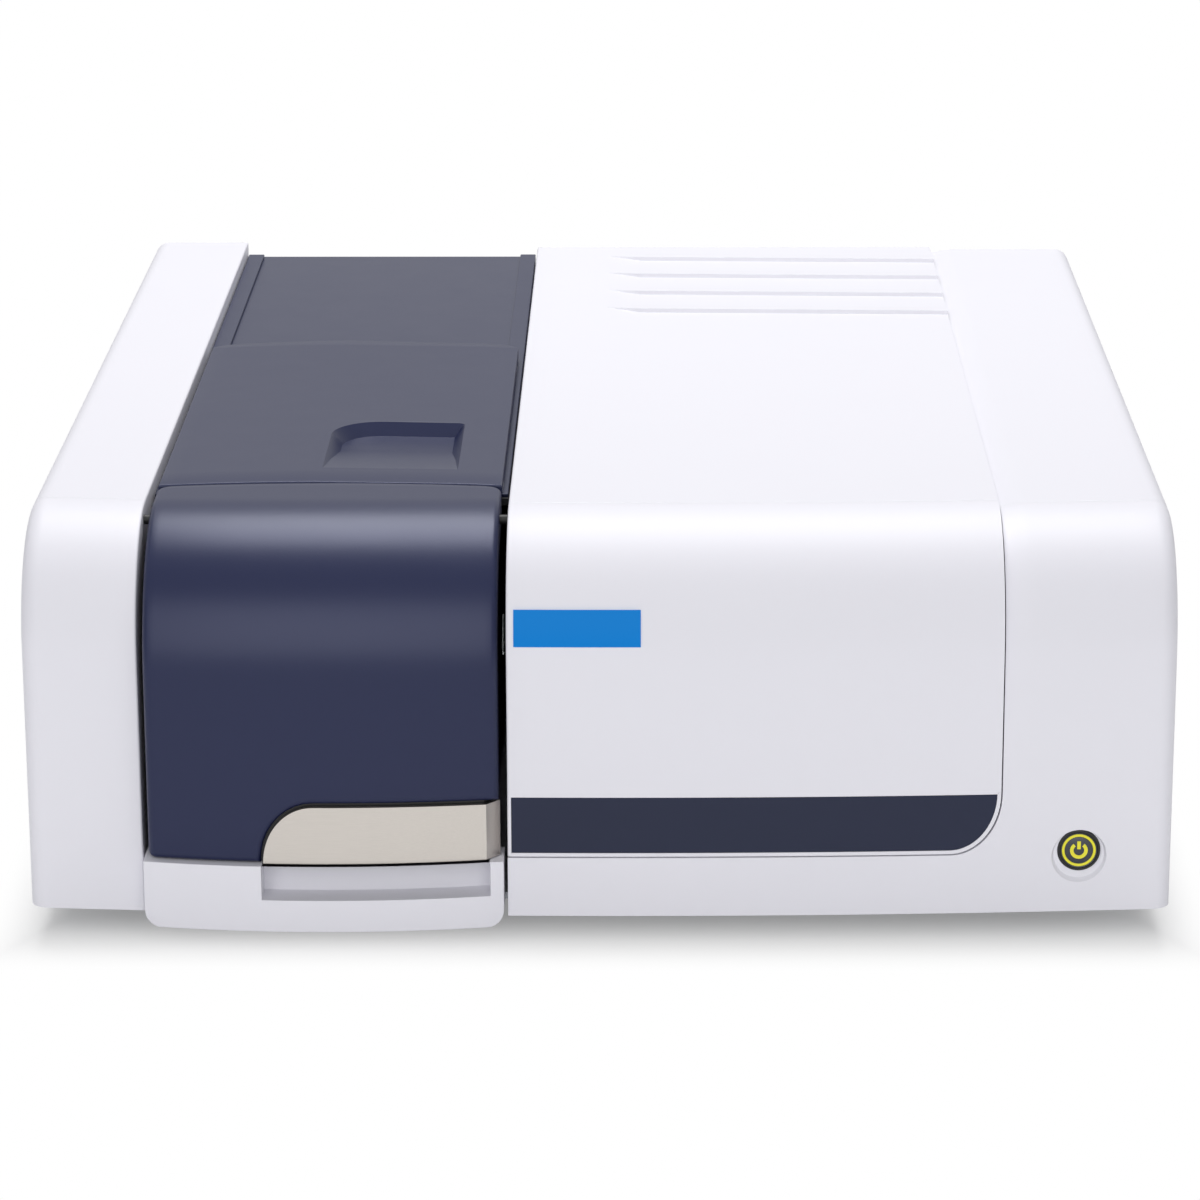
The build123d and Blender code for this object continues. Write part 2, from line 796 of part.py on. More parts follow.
# Front bumper: the white foot of the bay, with the finger pocket below the handle
bumper_left = bay_left + edge_round
bumper_right = bay_right - edge_round
bumper_back = tray_front - seat
bumper_top = door_bottom - seam
bumper_radius = door_radius + face_setback - door_stand
with BuildPart() as front_bumper:
    with BuildSketch(Plane.XY.offset(bumper_low)):
        add(bow_plan(bumper_left, bumper_right, bumper_back, bay_centre, front_y, bumper_radius))
    extrude(amount=bumper_top - bumper_low)
    lengthwise = front_bumper.edges().filter_by(Axis.Y).group_by(Axis.Z)[0]
    fillet(lengthwise, bumper_corner)
    fillet(front_bumper.faces().sort_by(Axis.Y)[0].edges().filter_by(
        lambda edge: edge.center().Z < bumper_top - 1), bumper_wall - 1)
    with BuildSketch(Plane.XZ.offset(-front_y - bumper_pocket_depth)) as pocket:
        with BuildLine():
            Polyline((bumper_pocket_left, far), (bumper_pocket_left, bumper_pocket_low),
                     (bumper_pocket_right, bumper_pocket_low), (bumper_pocket_right, far),
                     (bumper_pocket_left, far))
        make_face()
        fillet(pocket.vertices().group_by(Axis.Y)[0], bumper_corner / 2)
    extrude(amount=far, mode=Mode.SUBTRACT)
    block(bumper_left + bumper_wall, bumper_right - bumper_wall,
          front_y + bumper_pocket_depth + bumper_wall, bumper_back + 1, bumper_low + bumper_wall,
          bumper_top - bumper_wall, Mode.SUBTRACT)

# Front door: the curved dark panel that turns up about two side pivots
with BuildPart() as front_door:
    add(module_form(0))
    add(module_form(skin), mode=Mode.SUBTRACT)
    block(module_left, module_right, front_y - far, seam_y, door_bottom, far, Mode.INTERSECT)
    add(door_flanges())
    with BuildSketch(Plane.XZ.offset(-tub_front)):
        add(handle_profile(handle_gap))
    extrude(amount=far, mode=Mode.SUBTRACT)
    add(handle_backing())
    for x0, x1 in ((module_left, module_left + flange_wall), (module_right - flange_wall, module_right)):
        rod((x0 - 1, pivot_y, pivot_z), (x1 + 1, pivot_y, pivot_z), pivot_radius + bearing_fit,
            Mode.SUBTRACT)

# Handle: a bent sheet of brushed steel let into the door's lower right corner
with BuildPart() as door_handle:
    with BuildSketch(Plane.XY.offset(door_bottom)):
        add(handle_plan(-handle_proud))
        add(handle_plan(handle_sheet - handle_proud), mode=Mode.SUBTRACT)
    extrude(amount=handle_rise)
    with BuildSketch(Plane.XZ):
        add(handle_profile(0))
    extrude(amount=far, mode=Mode.INTERSECT)

# Pivots: two pins from the bay's side walls into the door's flanges
with BuildPart() as door_pivots:
    for start_x, tip_x in (
        (bay_left - case_wall, module_left + flange_wall),
        (cover_left + case_wall, module_right - flange_wall),
    ):
        rod((start_x, pivot_y, pivot_z), (tip_x, pivot_y, pivot_z), pivot_radius)

# Stops: rubber buttons on the tub that the closed door rests against
inner_face = door_face + skin
inner_radius = door_radius - skin
with BuildPart() as door_stops:
    for x in (bay_centre - stop_x, bay_centre + stop_x):
        touch = bow_y(bay_centre + stop_x + stop_radius, bay_centre, inner_face, inner_radius)
        rod((x, touch + seat, stop_z), (x, tub_front, stop_z), stop_radius)

# Catch: magnets on the tub and steel strikes inside the door
strike_face = inner_face + strike_sheet
with BuildPart() as door_magnets:
    for x in (bay_centre - magnet_x, bay_centre + magnet_x):
        edge_x = bay_centre + magnet_x + magnet_width / 2
        touch = bow_y(edge_x, bay_centre, strike_face, inner_radius - strike_sheet)
        block(x - magnet_width / 2, x + magnet_width / 2, touch + seat, tub_front,
              magnet_z - magnet_height / 2, magnet_z + magnet_height / 2)
with BuildPart() as door_strikes:
    with BuildSketch(Plane.XY.offset(magnet_z - magnet_height / 2)):
        add(bow_plan(module_left, module_right, tub_front, bay_centre, inner_face, inner_radius))
        add(bow_plan(module_left, module_right, tub_front, bay_centre, strike_face,
                     inner_radius - strike_sheet), mode=Mode.SUBTRACT)
    extrude(amount=magnet_height)
    with BuildSketch(Plane.XZ):
        with Locations((bay_centre, magnet_z)):
            with GridLocations(2 * magnet_x, 0, 2, 1):
                Rectangle(magnet_width, magnet_height)
    extrude(amount=far, mode=Mode.INTERSECT)

# Sliding lid: a crowned skin with skirts and the finger recess
with BuildPart() as sliding_lid:
    with BuildSketch(Plane.XY.offset(lid_low)):
        add(lid_plan(0))
    extrude(amount=far)
    add(module_form(0), mode=Mode.INTERSECT)
    add(lid_hollow(), mode=Mode.SUBTRACT)
    add(recess_pan())
    add(recess_form(0), mode=Mode.SUBTRACT)

# Glides: four low-friction shoes between the lid's skirts and the rails
glide_low = deck_top + rail_height + seat
glide_places = (lid_front + glide_inset, lid_back - lid_corner - 2 * glide_length)
lip_left = deck_left + rail_width + seat
with BuildPart() as lid_glides:
    for y in glide_places:
        block(module_left, lip_left + glide_lip, y, y + glide_length, glide_low, lid_low)
        block(lip_left, lip_left + glide_lip, y, y + glide_length, deck_top + seat, lid_low)
    mirror(about=Plane.YZ.offset(bay_centre))

# Light seal: a foam ring under the lid, inside its skirts
seal_inset = lid_skirt + seal_width
with BuildPart() as lid_seal:
    add(lid_hollow())
    block(-far, far, -far, far, glide_low, far, Mode.INTERSECT)
    block(module_left + seal_inset, module_right - seal_inset, lid_front + seal_inset,
          lid_back - lid_corner - seal_inset, 0, far, Mode.SUBTRACT)
    for y in glide_places:
        block(-far, far, y - seat, y + glide_length + seat, 0, lid_low + seat, Mode.SUBTRACT)

# Power button: bezel, sprung cap, lit ring, lit mark and the switch behind
bezel_front = button_y + dish_depth - bezel_proud
bezel_back = bezel_front + bezel_length
cap_radius = ring_outer + bezel_rim
with BuildPart() as button_bezel:
    rod((button_x, bezel_front, button_z), (button_x, bezel_back, button_z), bezel_radius - bearing_fit)
    fillet(button_bezel.edges().group_by(Axis.Y)[0], bezel_rim)
    nut_radius = bezel_radius + 3 * bezel_rim
    nut_y = bow_y(button_x + nut_radius, 0, face_y, front_radius) + case_wall + seat
    rod((button_x, nut_y, button_z), (button_x, bezel_back, button_z), nut_radius)
    rod((button_x, bezel_front - 1, button_z), (button_x, bezel_back + 1, button_z),
        cap_radius + 2 * bearing_fit, Mode.SUBTRACT)
cap_front = bezel_front + seat
cap_back = bezel_back - button_travel - seat
cap_plane = Plane(origin=(button_x, cap_front, button_z), x_dir=(1, 0, 0), z_dir=(0, -1, 0))
with BuildPart() as light_ring:
    with BuildSketch(cap_plane.offset(-ring_sheet)):
        Circle(ring_outer)
        Circle(ring_inner, mode=Mode.SUBTRACT)
    extrude(amount=ring_sheet)
with BuildPart() as power_mark:
    with BuildSketch(cap_plane.offset(-ring_sheet)):
        Circle(mark_radius)
        Circle(mark_radius - mark_stroke, mode=Mode.SUBTRACT)
        with Locations((0, mark_radius)):
            Rectangle(3 * mark_stroke, 2 * mark_radius, mode=Mode.SUBTRACT)
        with Locations((0, mark_radius / 2 + mark_stroke / 2)):
            Rectangle(mark_stroke, mark_radius + mark_stroke / 2)
    extrude(amount=ring_sheet)
with BuildPart() as power_button:
    rod((button_x, cap_front, button_z), (button_x, cap_back, button_z), cap_radius)
    add(light_ring.part, mode=Mode.SUBTRACT)
    add(power_mark.part, mode=Mode.SUBTRACT)
with BuildPart() as button_switch:
    side = bezel_radius + bezel_rim
    block(button_x - side, button_x + side, bezel_back, bezel_back + switch_body, button_z - side,
          button_z + side)

# Detectors: the sample's in the left housing, the reference's on the bench
detector_front = bay_left - case_wall - detector_gap
detector_back = detector_front - detector_depth
detector_half = detector_size / 2
with BuildPart() as detector_stand:
    block(detector_back, detector_front, beam_y - detector_half, beam_y + detector_half, tray_top,
          tray_top + tray_sheet)
    block(detector_back + tray_sheet, detector_front - tray_sheet, beam_y - tray_sheet,
          beam_y + tray_sheet, tray_top, beam_z - detector_half)
with BuildPart() as sample_detector:
    block(detector_back, detector_front, beam_y - detector_half, beam_y + detector_half,
          beam_z - detector_half, beam_z + detector_half)
    chamfer(sample_detector.edges().filter_by(Axis.X), edge_round)
    rod((detector_front - lens_sheet, beam_y, beam_z), (detector_front + 1, beam_y, beam_z),
        lens_radius, Mode.SUBTRACT)
with BuildPart() as reference_detector:
    block(splitter_x - detector_half, splitter_x + detector_half, detector_y - detector_half,
          detector_y, bench_top, beam_z + detector_half)
    chamfer(reference_detector.edges().filter_by(Axis.Z), edge_round)
    rod((splitter_x, detector_y - lens_sheet, beam_z), (splitter_x, detector_y + 1, beam_z),
        lens_radius, Mode.SUBTRACT)
with BuildPart() as detector_lenses:
    rod((detector_front - lens_sheet, beam_y, beam_z), (detector_front + edge_round, beam_y, beam_z),
        lens_radius)
    rod((splitter_x, detector_y - lens_sheet, beam_z), (splitter_x, detector_y + edge_round, beam_z),
        lens_radius)

# Optics bench: a cast plate on four rubber mounts
bench_middle = ((bench_left + bench_right) / 2, (bench_front + bench_back) / 2)
with BuildPart() as optics_bench:
    with BuildSketch(Plane.XY.offset(bench_low)):
        with Locations(bench_middle):
            RectangleRounded(bench_right - bench_left, bench_back - bench_front, mount_radius)
    extrude(amount=bench_sheet)
with BuildPart() as bench_mounts:
    with BuildSketch(Plane.XY.offset(tray_top)):
        with Locations(bench_middle):
            with GridLocations(bench_right - bench_left - 2 * mount_inset,
                               bench_back - bench_front - 2 * mount_inset, 2, 2):
                Circle(mount_radius)
    extrude(amount=bench_low - tray_top)

# Lamp: a flash lamp in a ventilated housing, open towards the filter wheel
lamp_front = lamp_y - lamp_length / 2
lamp_top = bench_top + lamp_height
optics_top = lamp_top + optics_room
with BuildPart() as lamp_housing:
    block(lamp_x - lamp_width / 2, lamp_x + lamp_width / 2, lamp_front, lamp_y + lamp_length / 2,
          bench_top, lamp_top)
    block(lamp_x - lamp_width / 2 + lamp_wall, lamp_x + lamp_width / 2 - lamp_wall,
          lamp_front + lamp_wall, lamp_y + lamp_length / 2 - lamp_wall, bench_top,
          lamp_top - lamp_wall, Mode.SUBTRACT)
    rod((lamp_x, lamp_front - 1, beam_z), (lamp_x, lamp_y, beam_z), filter_radius, Mode.SUBTRACT)
    with BuildSketch(Plane.XY.offset(lamp_top)):
        with Locations((lamp_x, lamp_y)):
            with GridLocations(0, filter_radius, 1, filter_count):
                SlotOverall(lamp_width / 2, lamp_wall)
    extrude(amount=-lamp_wall, mode=Mode.SUBTRACT)
with BuildPart() as flash_lamp:
    rod((lamp_x, lamp_y, bench_top), (lamp_x, lamp_y, beam_z - 2 * bulb_radius), bulb_radius)
    rod((lamp_x, lamp_y, beam_z - 2 * bulb_radius), (lamp_x, lamp_y, beam_z), bulb_radius / 2)
    with Locations((lamp_x, lamp_y, beam_z)):
        Sphere(bulb_radius)

# Filter wheel on its own motor
wheel_x = lamp_x + wheel_pitch
wheel_plane = Plane(origin=(wheel_x, wheel_y, beam_z), x_dir=(1, 0, 0), z_dir=(0, 1, 0))
motor_front = wheel_y + wheel_sheet / 2 + motor_gap
with BuildPart() as filter_wheel:
    with BuildSketch(wheel_plane.offset(-wheel_sheet / 2)):
        Circle(wheel_radius)
        with PolarLocations(wheel_pitch, filter_count, start_angle=180):
            Circle(filter_radius, mode=Mode.SUBTRACT)
    extrude(amount=wheel_sheet)
    rod((wheel_x, wheel_y, beam_z), (wheel_x, motor_front + motor_bore - seat, beam_z), shaft_radius)
with BuildPart() as filters:
    with BuildSketch(wheel_plane.offset(-wheel_sheet / 4)):
        with PolarLocations(wheel_pitch, filter_count, start_angle=180):
            Circle(filter_radius)
    extrude(amount=wheel_sheet / 2)
with BuildPart() as filter_motor:
    rod((wheel_x, motor_front, beam_z), (wheel_x, motor_front + motor_length, beam_z), motor_radius)
    block(wheel_x - motor_radius / 2, wheel_x + motor_radius / 2, motor_front,
          motor_front + motor_length, bench_top, beam_z)
    rod((wheel_x, motor_front - 1, beam_z), (wheel_x, motor_front + motor_bore, beam_z),
        shaft_radius + bearing_fit, Mode.SUBTRACT)

# Mirrors: each faces halfway between the two places that it links
lamp_place = (lamp_x, lamp_y)
fold_place = (lamp_x, fold_y)
slit_place = (slit_x, fold_y)
collimator_place = (mirror_x, collimator_y)
grating_place = (grating_x, grating_y)
camera_place = (mirror_x, camera_y)
exit_place = (exit_slit_x, beam_y)
splitter_place = (splitter_x, beam_y)
reference_place = (splitter_x, detector_y)
fold_plane = mirror_plane(fold_place, lamp_place, slit_place)
splitter_plane = mirror_plane(splitter_place, exit_place, reference_place)
collimator_plane = mirror_plane(collimator_place, slit_place, grating_place)
camera_plane = mirror_plane(camera_place, grating_place, exit_place)
with BuildPart() as fold_mirror:
    mirror_block(fold_plane, fold_size, window_sheet)
with BuildPart() as beam_splitter:
    mirror_block(splitter_plane, fold_size, window_sheet / 2)
with BuildPart() as curved_mirrors:
    for plane in (collimator_plane, camera_plane):
        mirror_block(plane, mirror_size, mirror_sheet)
        with Locations(plane.offset(mirror_ball - mirror_sag)):
            Sphere(mirror_ball, mode=Mode.SUBTRACT)
with BuildPart() as mirror_mounts:
    for plane in (collimator_plane, camera_plane):
        mirror_post(plane, mirror_size, mirror_sheet)
    mirror_post(fold_plane, fold_size, window_sheet)
    foot_height = beam_z - bench_top - fold_size / 2
    with BuildSketch(splitter_plane):
        with Locations((-fold_size / 2 - foot_height / 2, 0)):
            Rectangle(foot_height, fold_size)
    extrude(amount=-post_sheet)

# Slits: entrance and exit plates
with BuildPart() as slit_plates:
    for x, y in (slit_place, exit_place):
        block(x, x + slit_sheet, y - fold_size / 2, y + fold_size / 2, bench_top,
              beam_z + fold_size / 2)
        block(x - 1, x + slit_sheet + 1, y - slit_width / 2, y + slit_width / 2,
              beam_z - slit_height / 2, beam_z + slit_height / 2, Mode.SUBTRACT)

# Grating on a turntable that its motor turns directly
table_top = beam_z - grating_size / 2
table_low = table_top - table_sheet
table_motor_top = table_low - motor_gap
grating_plane = Plane(origin=(*grating_place, beam_z), x_dir=(0, 0, 1), z_dir=(1, 0, 0))
with BuildPart() as grating:
    mirror_block(grating_plane, grating_size, grating_sheet)
with BuildPart() as grating_table:
    rod((*grating_place, table_low), (*grating_place, table_top), table_radius)
    with BuildSketch(grating_plane.offset(-grating_sheet)):
        with Locations((-grating_size / 4, 0)):
            Rectangle(grating_size / 2, grating_size / 2)
    extrude(amount=-post_sheet)
    rod((*grating_place, table_motor_top - motor_bore + seat), (*grating_place, table_low),
        shaft_radius)
with BuildPart() as grating_motor:
    rod((*grating_place, bench_top), (*grating_place, table_motor_top), table_radius)
    rod((*grating_place, table_motor_top - motor_bore), (*grating_place, table_low),
        shaft_radius + bearing_fit, Mode.SUBTRACT)

# Dark cover over the optics
with BuildPart() as optics_cover:
    block(bench_left + optics_sheet, bench_right - optics_sheet, bench_front + optics_sheet,
          bench_back - optics_sheet, bench_top, optics_top)
    block(bench_left + 2 * optics_sheet, bench_right - 2 * optics_sheet,
          bench_front + 2 * optics_sheet, bench_back - 2 * optics_sheet, bench_top,
          optics_top - optics_sheet, Mode.SUBTRACT)
    rod((bench_left - 1, beam_y, beam_z), (splitter_x, beam_y, beam_z), window_hole, Mode.SUBTRACT)

# Electronics in the right housing
board_x = right_left + case_wall + standoff_length
board_high = right_top - board_drop
with BuildPart() as board_standoffs:
    for y in (board_front + board_inset, board_back - board_inset):
        for z in (board_low + board_inset, board_high - board_inset):
            rod((right_left + case_wall, y, z), (board_x, y, z), standoff_radius)
with BuildPart() as main_board:
    block(board_x, board_x + board_sheet, board_front, board_back, board_low, board_high)
    chip_x = board_x + board_sheet
    for row in range(chip_rows):
        for column in range(chip_columns):
            y = board_front + (column + 1) * (board_back - board_front) / (chip_columns + 1)
            z = board_low + (row + 1) * (board_high - board_low) / (chip_rows + 1)
            block(chip_x, chip_x + chip_sheet, y - chip_size / 2, y + chip_size / 2, z - chip_size / 2,
                  z + chip_size / 2)
supply_right = half_width - case_wall - supply_gap
with BuildPart() as power_supply:
    block(supply_right - supply_width, supply_right, supply_back - supply_length, supply_back,
          tray_top, tray_top + supply_height)
    with BuildSketch(Plane.XY.offset(tray_top + supply_height)):
        with Locations((supply_right - supply_width / 2, supply_back - supply_length / 2)):
            with GridLocations(0, 2 * tray_sheet, 1, supply_slots):
                SlotOverall(supply_width / 2, tray_sheet)
    extrude(amount=-edge_round, mode=Mode.SUBTRACT)

# Rear panel with its fan, mains inlet, mains switch and data socket
panel_front = right_back - panel_sheet
panel_top = right_top - panel_drop
panel_left = cover_left + case_wall + seat
panel_right = half_width - case_wall - seat
fan_front = panel_front - fan_depth
with BuildPart() as rear_panel:
    block(panel_left, panel_right, panel_front, right_back, tray_top, panel_top)
    rod((fan_x, panel_front - 1, fan_z), (fan_x, right_back + 1, fan_z), fan_bore, Mode.SUBTRACT)
    for x, z, width, height in (
        (inlet_x, inlet_z, inlet_width, inlet_height),
        (inlet_x, switch_z, switch_width, switch_height),
        (usb_x, usb_z, usb_width, usb_height),
    ):
        block(x - width / 2, x + width / 2, panel_front - 1, right_back + 1, z - height / 2,
              z + height / 2, Mode.SUBTRACT)
with BuildPart() as mains_inlet:
    block(inlet_x - inlet_width / 2, inlet_x + inlet_width / 2, right_back - inlet_depth, right_back,
          inlet_z - inlet_height / 2, inlet_z + inlet_height / 2)
    block(inlet_x - inlet_width / 2 - inlet_rim, inlet_x + inlet_width / 2 + inlet_rim, right_back,
          right_back + inlet_flange, inlet_z - inlet_height / 2 - inlet_rim / 2,
          inlet_z + inlet_height / 2 + inlet_rim / 2)
    block(inlet_x - inlet_width / 2 + edge_round, inlet_x + inlet_width / 2 - edge_round,
          right_back - inlet_depth + 2, right_back + 2 * inlet_flange,
          inlet_z - inlet_height / 2 + edge_round, inlet_z + inlet_height / 2 - edge_round,
          Mode.SUBTRACT)
    for x, z in ((-inlet_pitch, -inlet_pin), (0, inlet_pin), (inlet_pitch, -inlet_pin)):
        block(inlet_x + x - inlet_pin / 2, inlet_x + x + inlet_pin / 2, right_back - inlet_depth,
              right_back - inlet_depth / 2, inlet_z + z - inlet_pin, inlet_z + z + inlet_pin)
rocker_y = right_back - inlet_flange
with BuildPart() as switch_frame:
    block(inlet_x - switch_width / 2, inlet_x + switch_width / 2, right_back - inlet_depth,
          right_back, switch_z - switch_height / 2, switch_z + switch_height / 2)
    block(inlet_x - switch_width / 2 - edge_round, inlet_x + switch_width / 2 + edge_round, right_back,
          right_back + inlet_flange, switch_z - switch_height / 2 - edge_round,
          switch_z + switch_height / 2 + edge_round)
    rod((inlet_x - rocker_width / 2 - seat, rocker_y, switch_z),
        (inlet_x + rocker_width / 2 + seat, rocker_y, switch_z), rocker_radius + seat, Mode.SUBTRACT)
    rod((inlet_x - switch_width / 2, rocker_y, switch_z),
        (inlet_x + switch_width / 2, rocker_y, switch_z), rocker_pin)
with BuildPart() as mains_rocker:
    rod((inlet_x - rocker_width / 2, rocker_y, switch_z), (inlet_x + rocker_width / 2, rocker_y, switch_z),
        rocker_radius)
    with Locations(Location((inlet_x, rocker_y, switch_z), (rocker_tilt, 0, 0))):
        with Locations((0, rocker_radius, 0)):
            Box(2 * rocker_width, rocker_radius, 4 * rocker_radius, mode=Mode.SUBTRACT)
    rod((inlet_x - rocker_width, rocker_y, switch_z),
        (inlet_x + rocker_width, rocker_y, switch_z), rocker_pin + bearing_fit,
        Mode.SUBTRACT)
with BuildPart() as usb_socket:
    block(usb_x - usb_width / 2, usb_x + usb_width / 2, right_back - inlet_depth, right_back + seat,
          usb_z - usb_height / 2, usb_z + usb_height / 2)
    block(usb_x - usb_width / 2 + edge_round, usb_x + usb_width / 2 - edge_round,
          right_back - inlet_depth / 2, right_back + 1, usb_z - usb_height / 2 + edge_round,
          usb_z + usb_height / 2 - edge_round, Mode.SUBTRACT)

# Fan: frame with its pin, rotor, and the wire guard outside the panel
fan_plane = Plane(origin=(fan_x, fan_front, fan_z), x_dir=(1, 0, 0), z_dir=(0, 1, 0))
with BuildPart() as fan_frame:
    with BuildSketch(fan_plane):
        RectangleRounded(fan_size, fan_size, fan_corner)
        Circle(fan_bore, mode=Mode.SUBTRACT)
    extrude(amount=fan_depth)
    with BuildSketch(fan_plane):
        with PolarLocations(0, 4):
            with Locations(((fan_hub + fan_bore) / 2, 0)):
                Rectangle(fan_bore - fan_hub + edge_round, fan_strut)
        Circle(fan_hub)
    extrude(amount=fan_strut)
    rod((fan_x, fan_front, fan_z), (fan_x, fan_front + fan_depth - fan_strut, fan_z), shaft_radius)
with BuildPart() as fan_rotor:
    fan_reach = fan_bore - 2 * edge_round
    with BuildSketch(fan_plane.offset(fan_strut + seat)):
        Circle(fan_hub)
        with PolarLocations(0, fan_blades):
            with Locations(((fan_hub + fan_reach) / 2, 0)):
                Rectangle(fan_reach - fan_hub + 2 * edge_round, fan_strut / 2)
    extrude(amount=fan_depth - 2 * fan_strut)
    rod((fan_x, fan_front, fan_z), (fan_x, right_back, fan_z), shaft_radius + bearing_fit,
        Mode.SUBTRACT)
with BuildPart() as fan_guard:
    ring_step = (fan_bore - fan_hub) / guard_rings
    with BuildSketch(Plane(origin=(fan_x, right_back, fan_z), x_dir=(1, 0, 0), z_dir=(0, 1, 0))):
        for step in range(guard_rings + 1):
            Circle(fan_bore - step * ring_step)
            Circle(fan_bore - step * ring_step - guard_wire, mode=Mode.SUBTRACT)
        with PolarLocations(0, 2, angular_range=180):
            Rectangle(2 * fan_bore + 4 * guard_wire, guard_wire)
    extrude(amount=guard_wire)

# Every finished piece, written under its own name
pieces = {
    "base_tray": base_tray, "feet": feet, "case_screws": case_screws,
    "left_housing": left_housing, "right_housing": right_housing, "centre_cover": centre_cover,
    "front_stripe": front_stripe, "label_plate": label_plate, "rear_deck": rear_deck,
    "slide_rails": slide_rails, "compartment_tub": compartment_tub, "beam_windows": beam_windows,
    "sample_base": sample_base, "cell_holder": cell_holder, "front_bumper": front_bumper,
    "front_door": front_door, "door_handle": door_handle, "door_pivots": door_pivots,
    "door_stops": door_stops, "door_magnets": door_magnets, "door_strikes": door_strikes,
    "sliding_lid": sliding_lid, "lid_glides": lid_glides, "lid_seal": lid_seal,
    "button_bezel": button_bezel, "light_ring": light_ring, "power_mark": power_mark,
    "power_button": power_button, "button_switch": button_switch, "detector_stand": detector_stand,
    "sample_detector": sample_detector, "reference_detector": reference_detector,
    "detector_lenses": detector_lenses, "optics_bench": optics_bench, "bench_mounts": bench_mounts,
    "lamp_housing": lamp_housing, "flash_lamp": flash_lamp, "filter_wheel": filter_wheel,
    "filters": filters, "filter_motor": filter_motor, "fold_mirror": fold_mirror,
    "beam_splitter": beam_splitter, "curved_mirrors": curved_mirrors, "mirror_mounts": mirror_mounts,
    "slit_plates": slit_plates, "grating": grating,
    "grating_table": grating_table, "grating_motor": grating_motor, "optics_cover": optics_cover,
    "board_standoffs": board_standoffs, "main_board": main_board, "power_supply": power_supply,
    "rear_panel": rear_panel, "mains_inlet": mains_inlet, "switch_frame": switch_frame,
    "mains_rocker": mains_rocker, "usb_socket": usb_socket, "fan_frame": fan_frame,
    "fan_rotor": fan_rotor, "fan_guard": fan_guard,
}
os.makedirs("parts", exist_ok=True)
for name, piece in pieces.items():
    piece.part.label = name
    export_step(piece.part, f"parts/{name}.step")
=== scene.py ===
"""Visual model of the bench-top spectrophotometer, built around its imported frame.

Sizes in the classes are millimetres in the part's own frame: X to the right of
the photograph, Y to the back and Z up, with the origin on the bench under the
middle of the case. Skins are drawn flat, as a cut sheet is, and then bent over
the case's or the bay's front, so neighbouring pieces share one surface.
"""

from __future__ import annotations

import json
import logging
import math
from dataclasses import dataclass
from enum import Enum
from typing import Iterable, Sequence

import bmesh
import bpy
from bmesh.types import BMEdge, BMesh, BMFace, BMVert
from bpy.types import Material, Node, NodeSocket, NodeTree, Object
from mathutils import Matrix, Vector

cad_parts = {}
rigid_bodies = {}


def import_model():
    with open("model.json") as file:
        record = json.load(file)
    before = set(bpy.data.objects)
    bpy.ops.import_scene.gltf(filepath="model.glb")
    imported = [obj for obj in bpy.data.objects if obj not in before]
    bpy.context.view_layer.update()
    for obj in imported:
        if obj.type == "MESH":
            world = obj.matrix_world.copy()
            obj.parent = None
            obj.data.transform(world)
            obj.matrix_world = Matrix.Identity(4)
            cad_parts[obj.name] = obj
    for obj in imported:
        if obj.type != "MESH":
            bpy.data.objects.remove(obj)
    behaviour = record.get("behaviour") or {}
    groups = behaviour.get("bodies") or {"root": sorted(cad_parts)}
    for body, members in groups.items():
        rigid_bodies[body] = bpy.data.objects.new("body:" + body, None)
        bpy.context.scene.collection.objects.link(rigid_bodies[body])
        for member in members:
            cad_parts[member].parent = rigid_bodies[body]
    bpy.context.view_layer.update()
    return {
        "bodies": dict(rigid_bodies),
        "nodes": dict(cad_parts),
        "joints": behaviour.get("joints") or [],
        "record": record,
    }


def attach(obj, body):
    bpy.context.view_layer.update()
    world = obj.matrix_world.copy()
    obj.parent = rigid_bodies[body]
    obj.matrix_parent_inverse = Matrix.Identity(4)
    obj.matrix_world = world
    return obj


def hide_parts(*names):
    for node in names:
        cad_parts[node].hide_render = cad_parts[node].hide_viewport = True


LOG = logging.getLogger("spectrophotometer")
MM = 0.001

# Tolerances in millimetres: room past a cut, one place, a short edge left over and a hair's breadth.
SLACK = 0.1
NEAR = 0.05
SLIVER = 0.01
HAIR = 1e-3

# Angle in degrees below which two faces count as one flat.
FLAT = 0.5

# The power button's axis: x and height.
BUTTON = (199.5, 44.5)


class Body(Enum):
    """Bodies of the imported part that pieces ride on."""

    INSTRUMENT = "instrument"
    LID = "lid"
    DOOR = "door"
    BUTTON = "button"
    ROCKER = "rocker"
    FAN = "fan"
    FILTERS = "filters_wheel"
    TABLE = "table"


class Axis(Enum):
    """Axis of a round or of a grain."""

    X = 0
    Y = 1
    Z = 2


# Nodes and materials


def linear(code: str) -> tuple[float, float, float, float]:
    """Turn an sRGB hex colour to a linear one.

    Args:
        code: Six hex digits, with or without a leading hash.

    Returns:
        Linear red, green, blue and an alpha of 1.
    """
    digits = code.lstrip("#")
    parts = [int(digits[i:i + 2], 16) / 255 for i in (0, 2, 4)]
    red, green, blue = (c / 12.92 if c <= 0.04045 else ((c + 0.055) / 1.055) ** 2.4 for c in parts)
    return red, green, blue, 1.0


def add_node(tree: NodeTree, kind: str, links: dict[str | int, NodeSocket] | None = None,
             values: dict[str | int, object] | None = None, **settings: object) -> Node:
    """Add one shader node with its settings, socket values and incoming links.

    Args:
        tree: Node tree that takes the node.
        kind: The node's type name.
        links: Output sockets to link, by the name or index of the input.
        values: Default values, by the name or index of the input.
        **settings: Properties of the node itself.

    Returns:
        The new node.
    """
    node = tree.nodes.new(kind)
    for name, value in settings.items():
        setattr(node, name, value)
    for key, value in (values or {}).items():
        node.inputs[key].default_value = value
    for key, socket in (links or {}).items():
        tree.links.new(socket, node.inputs[key])
    return node


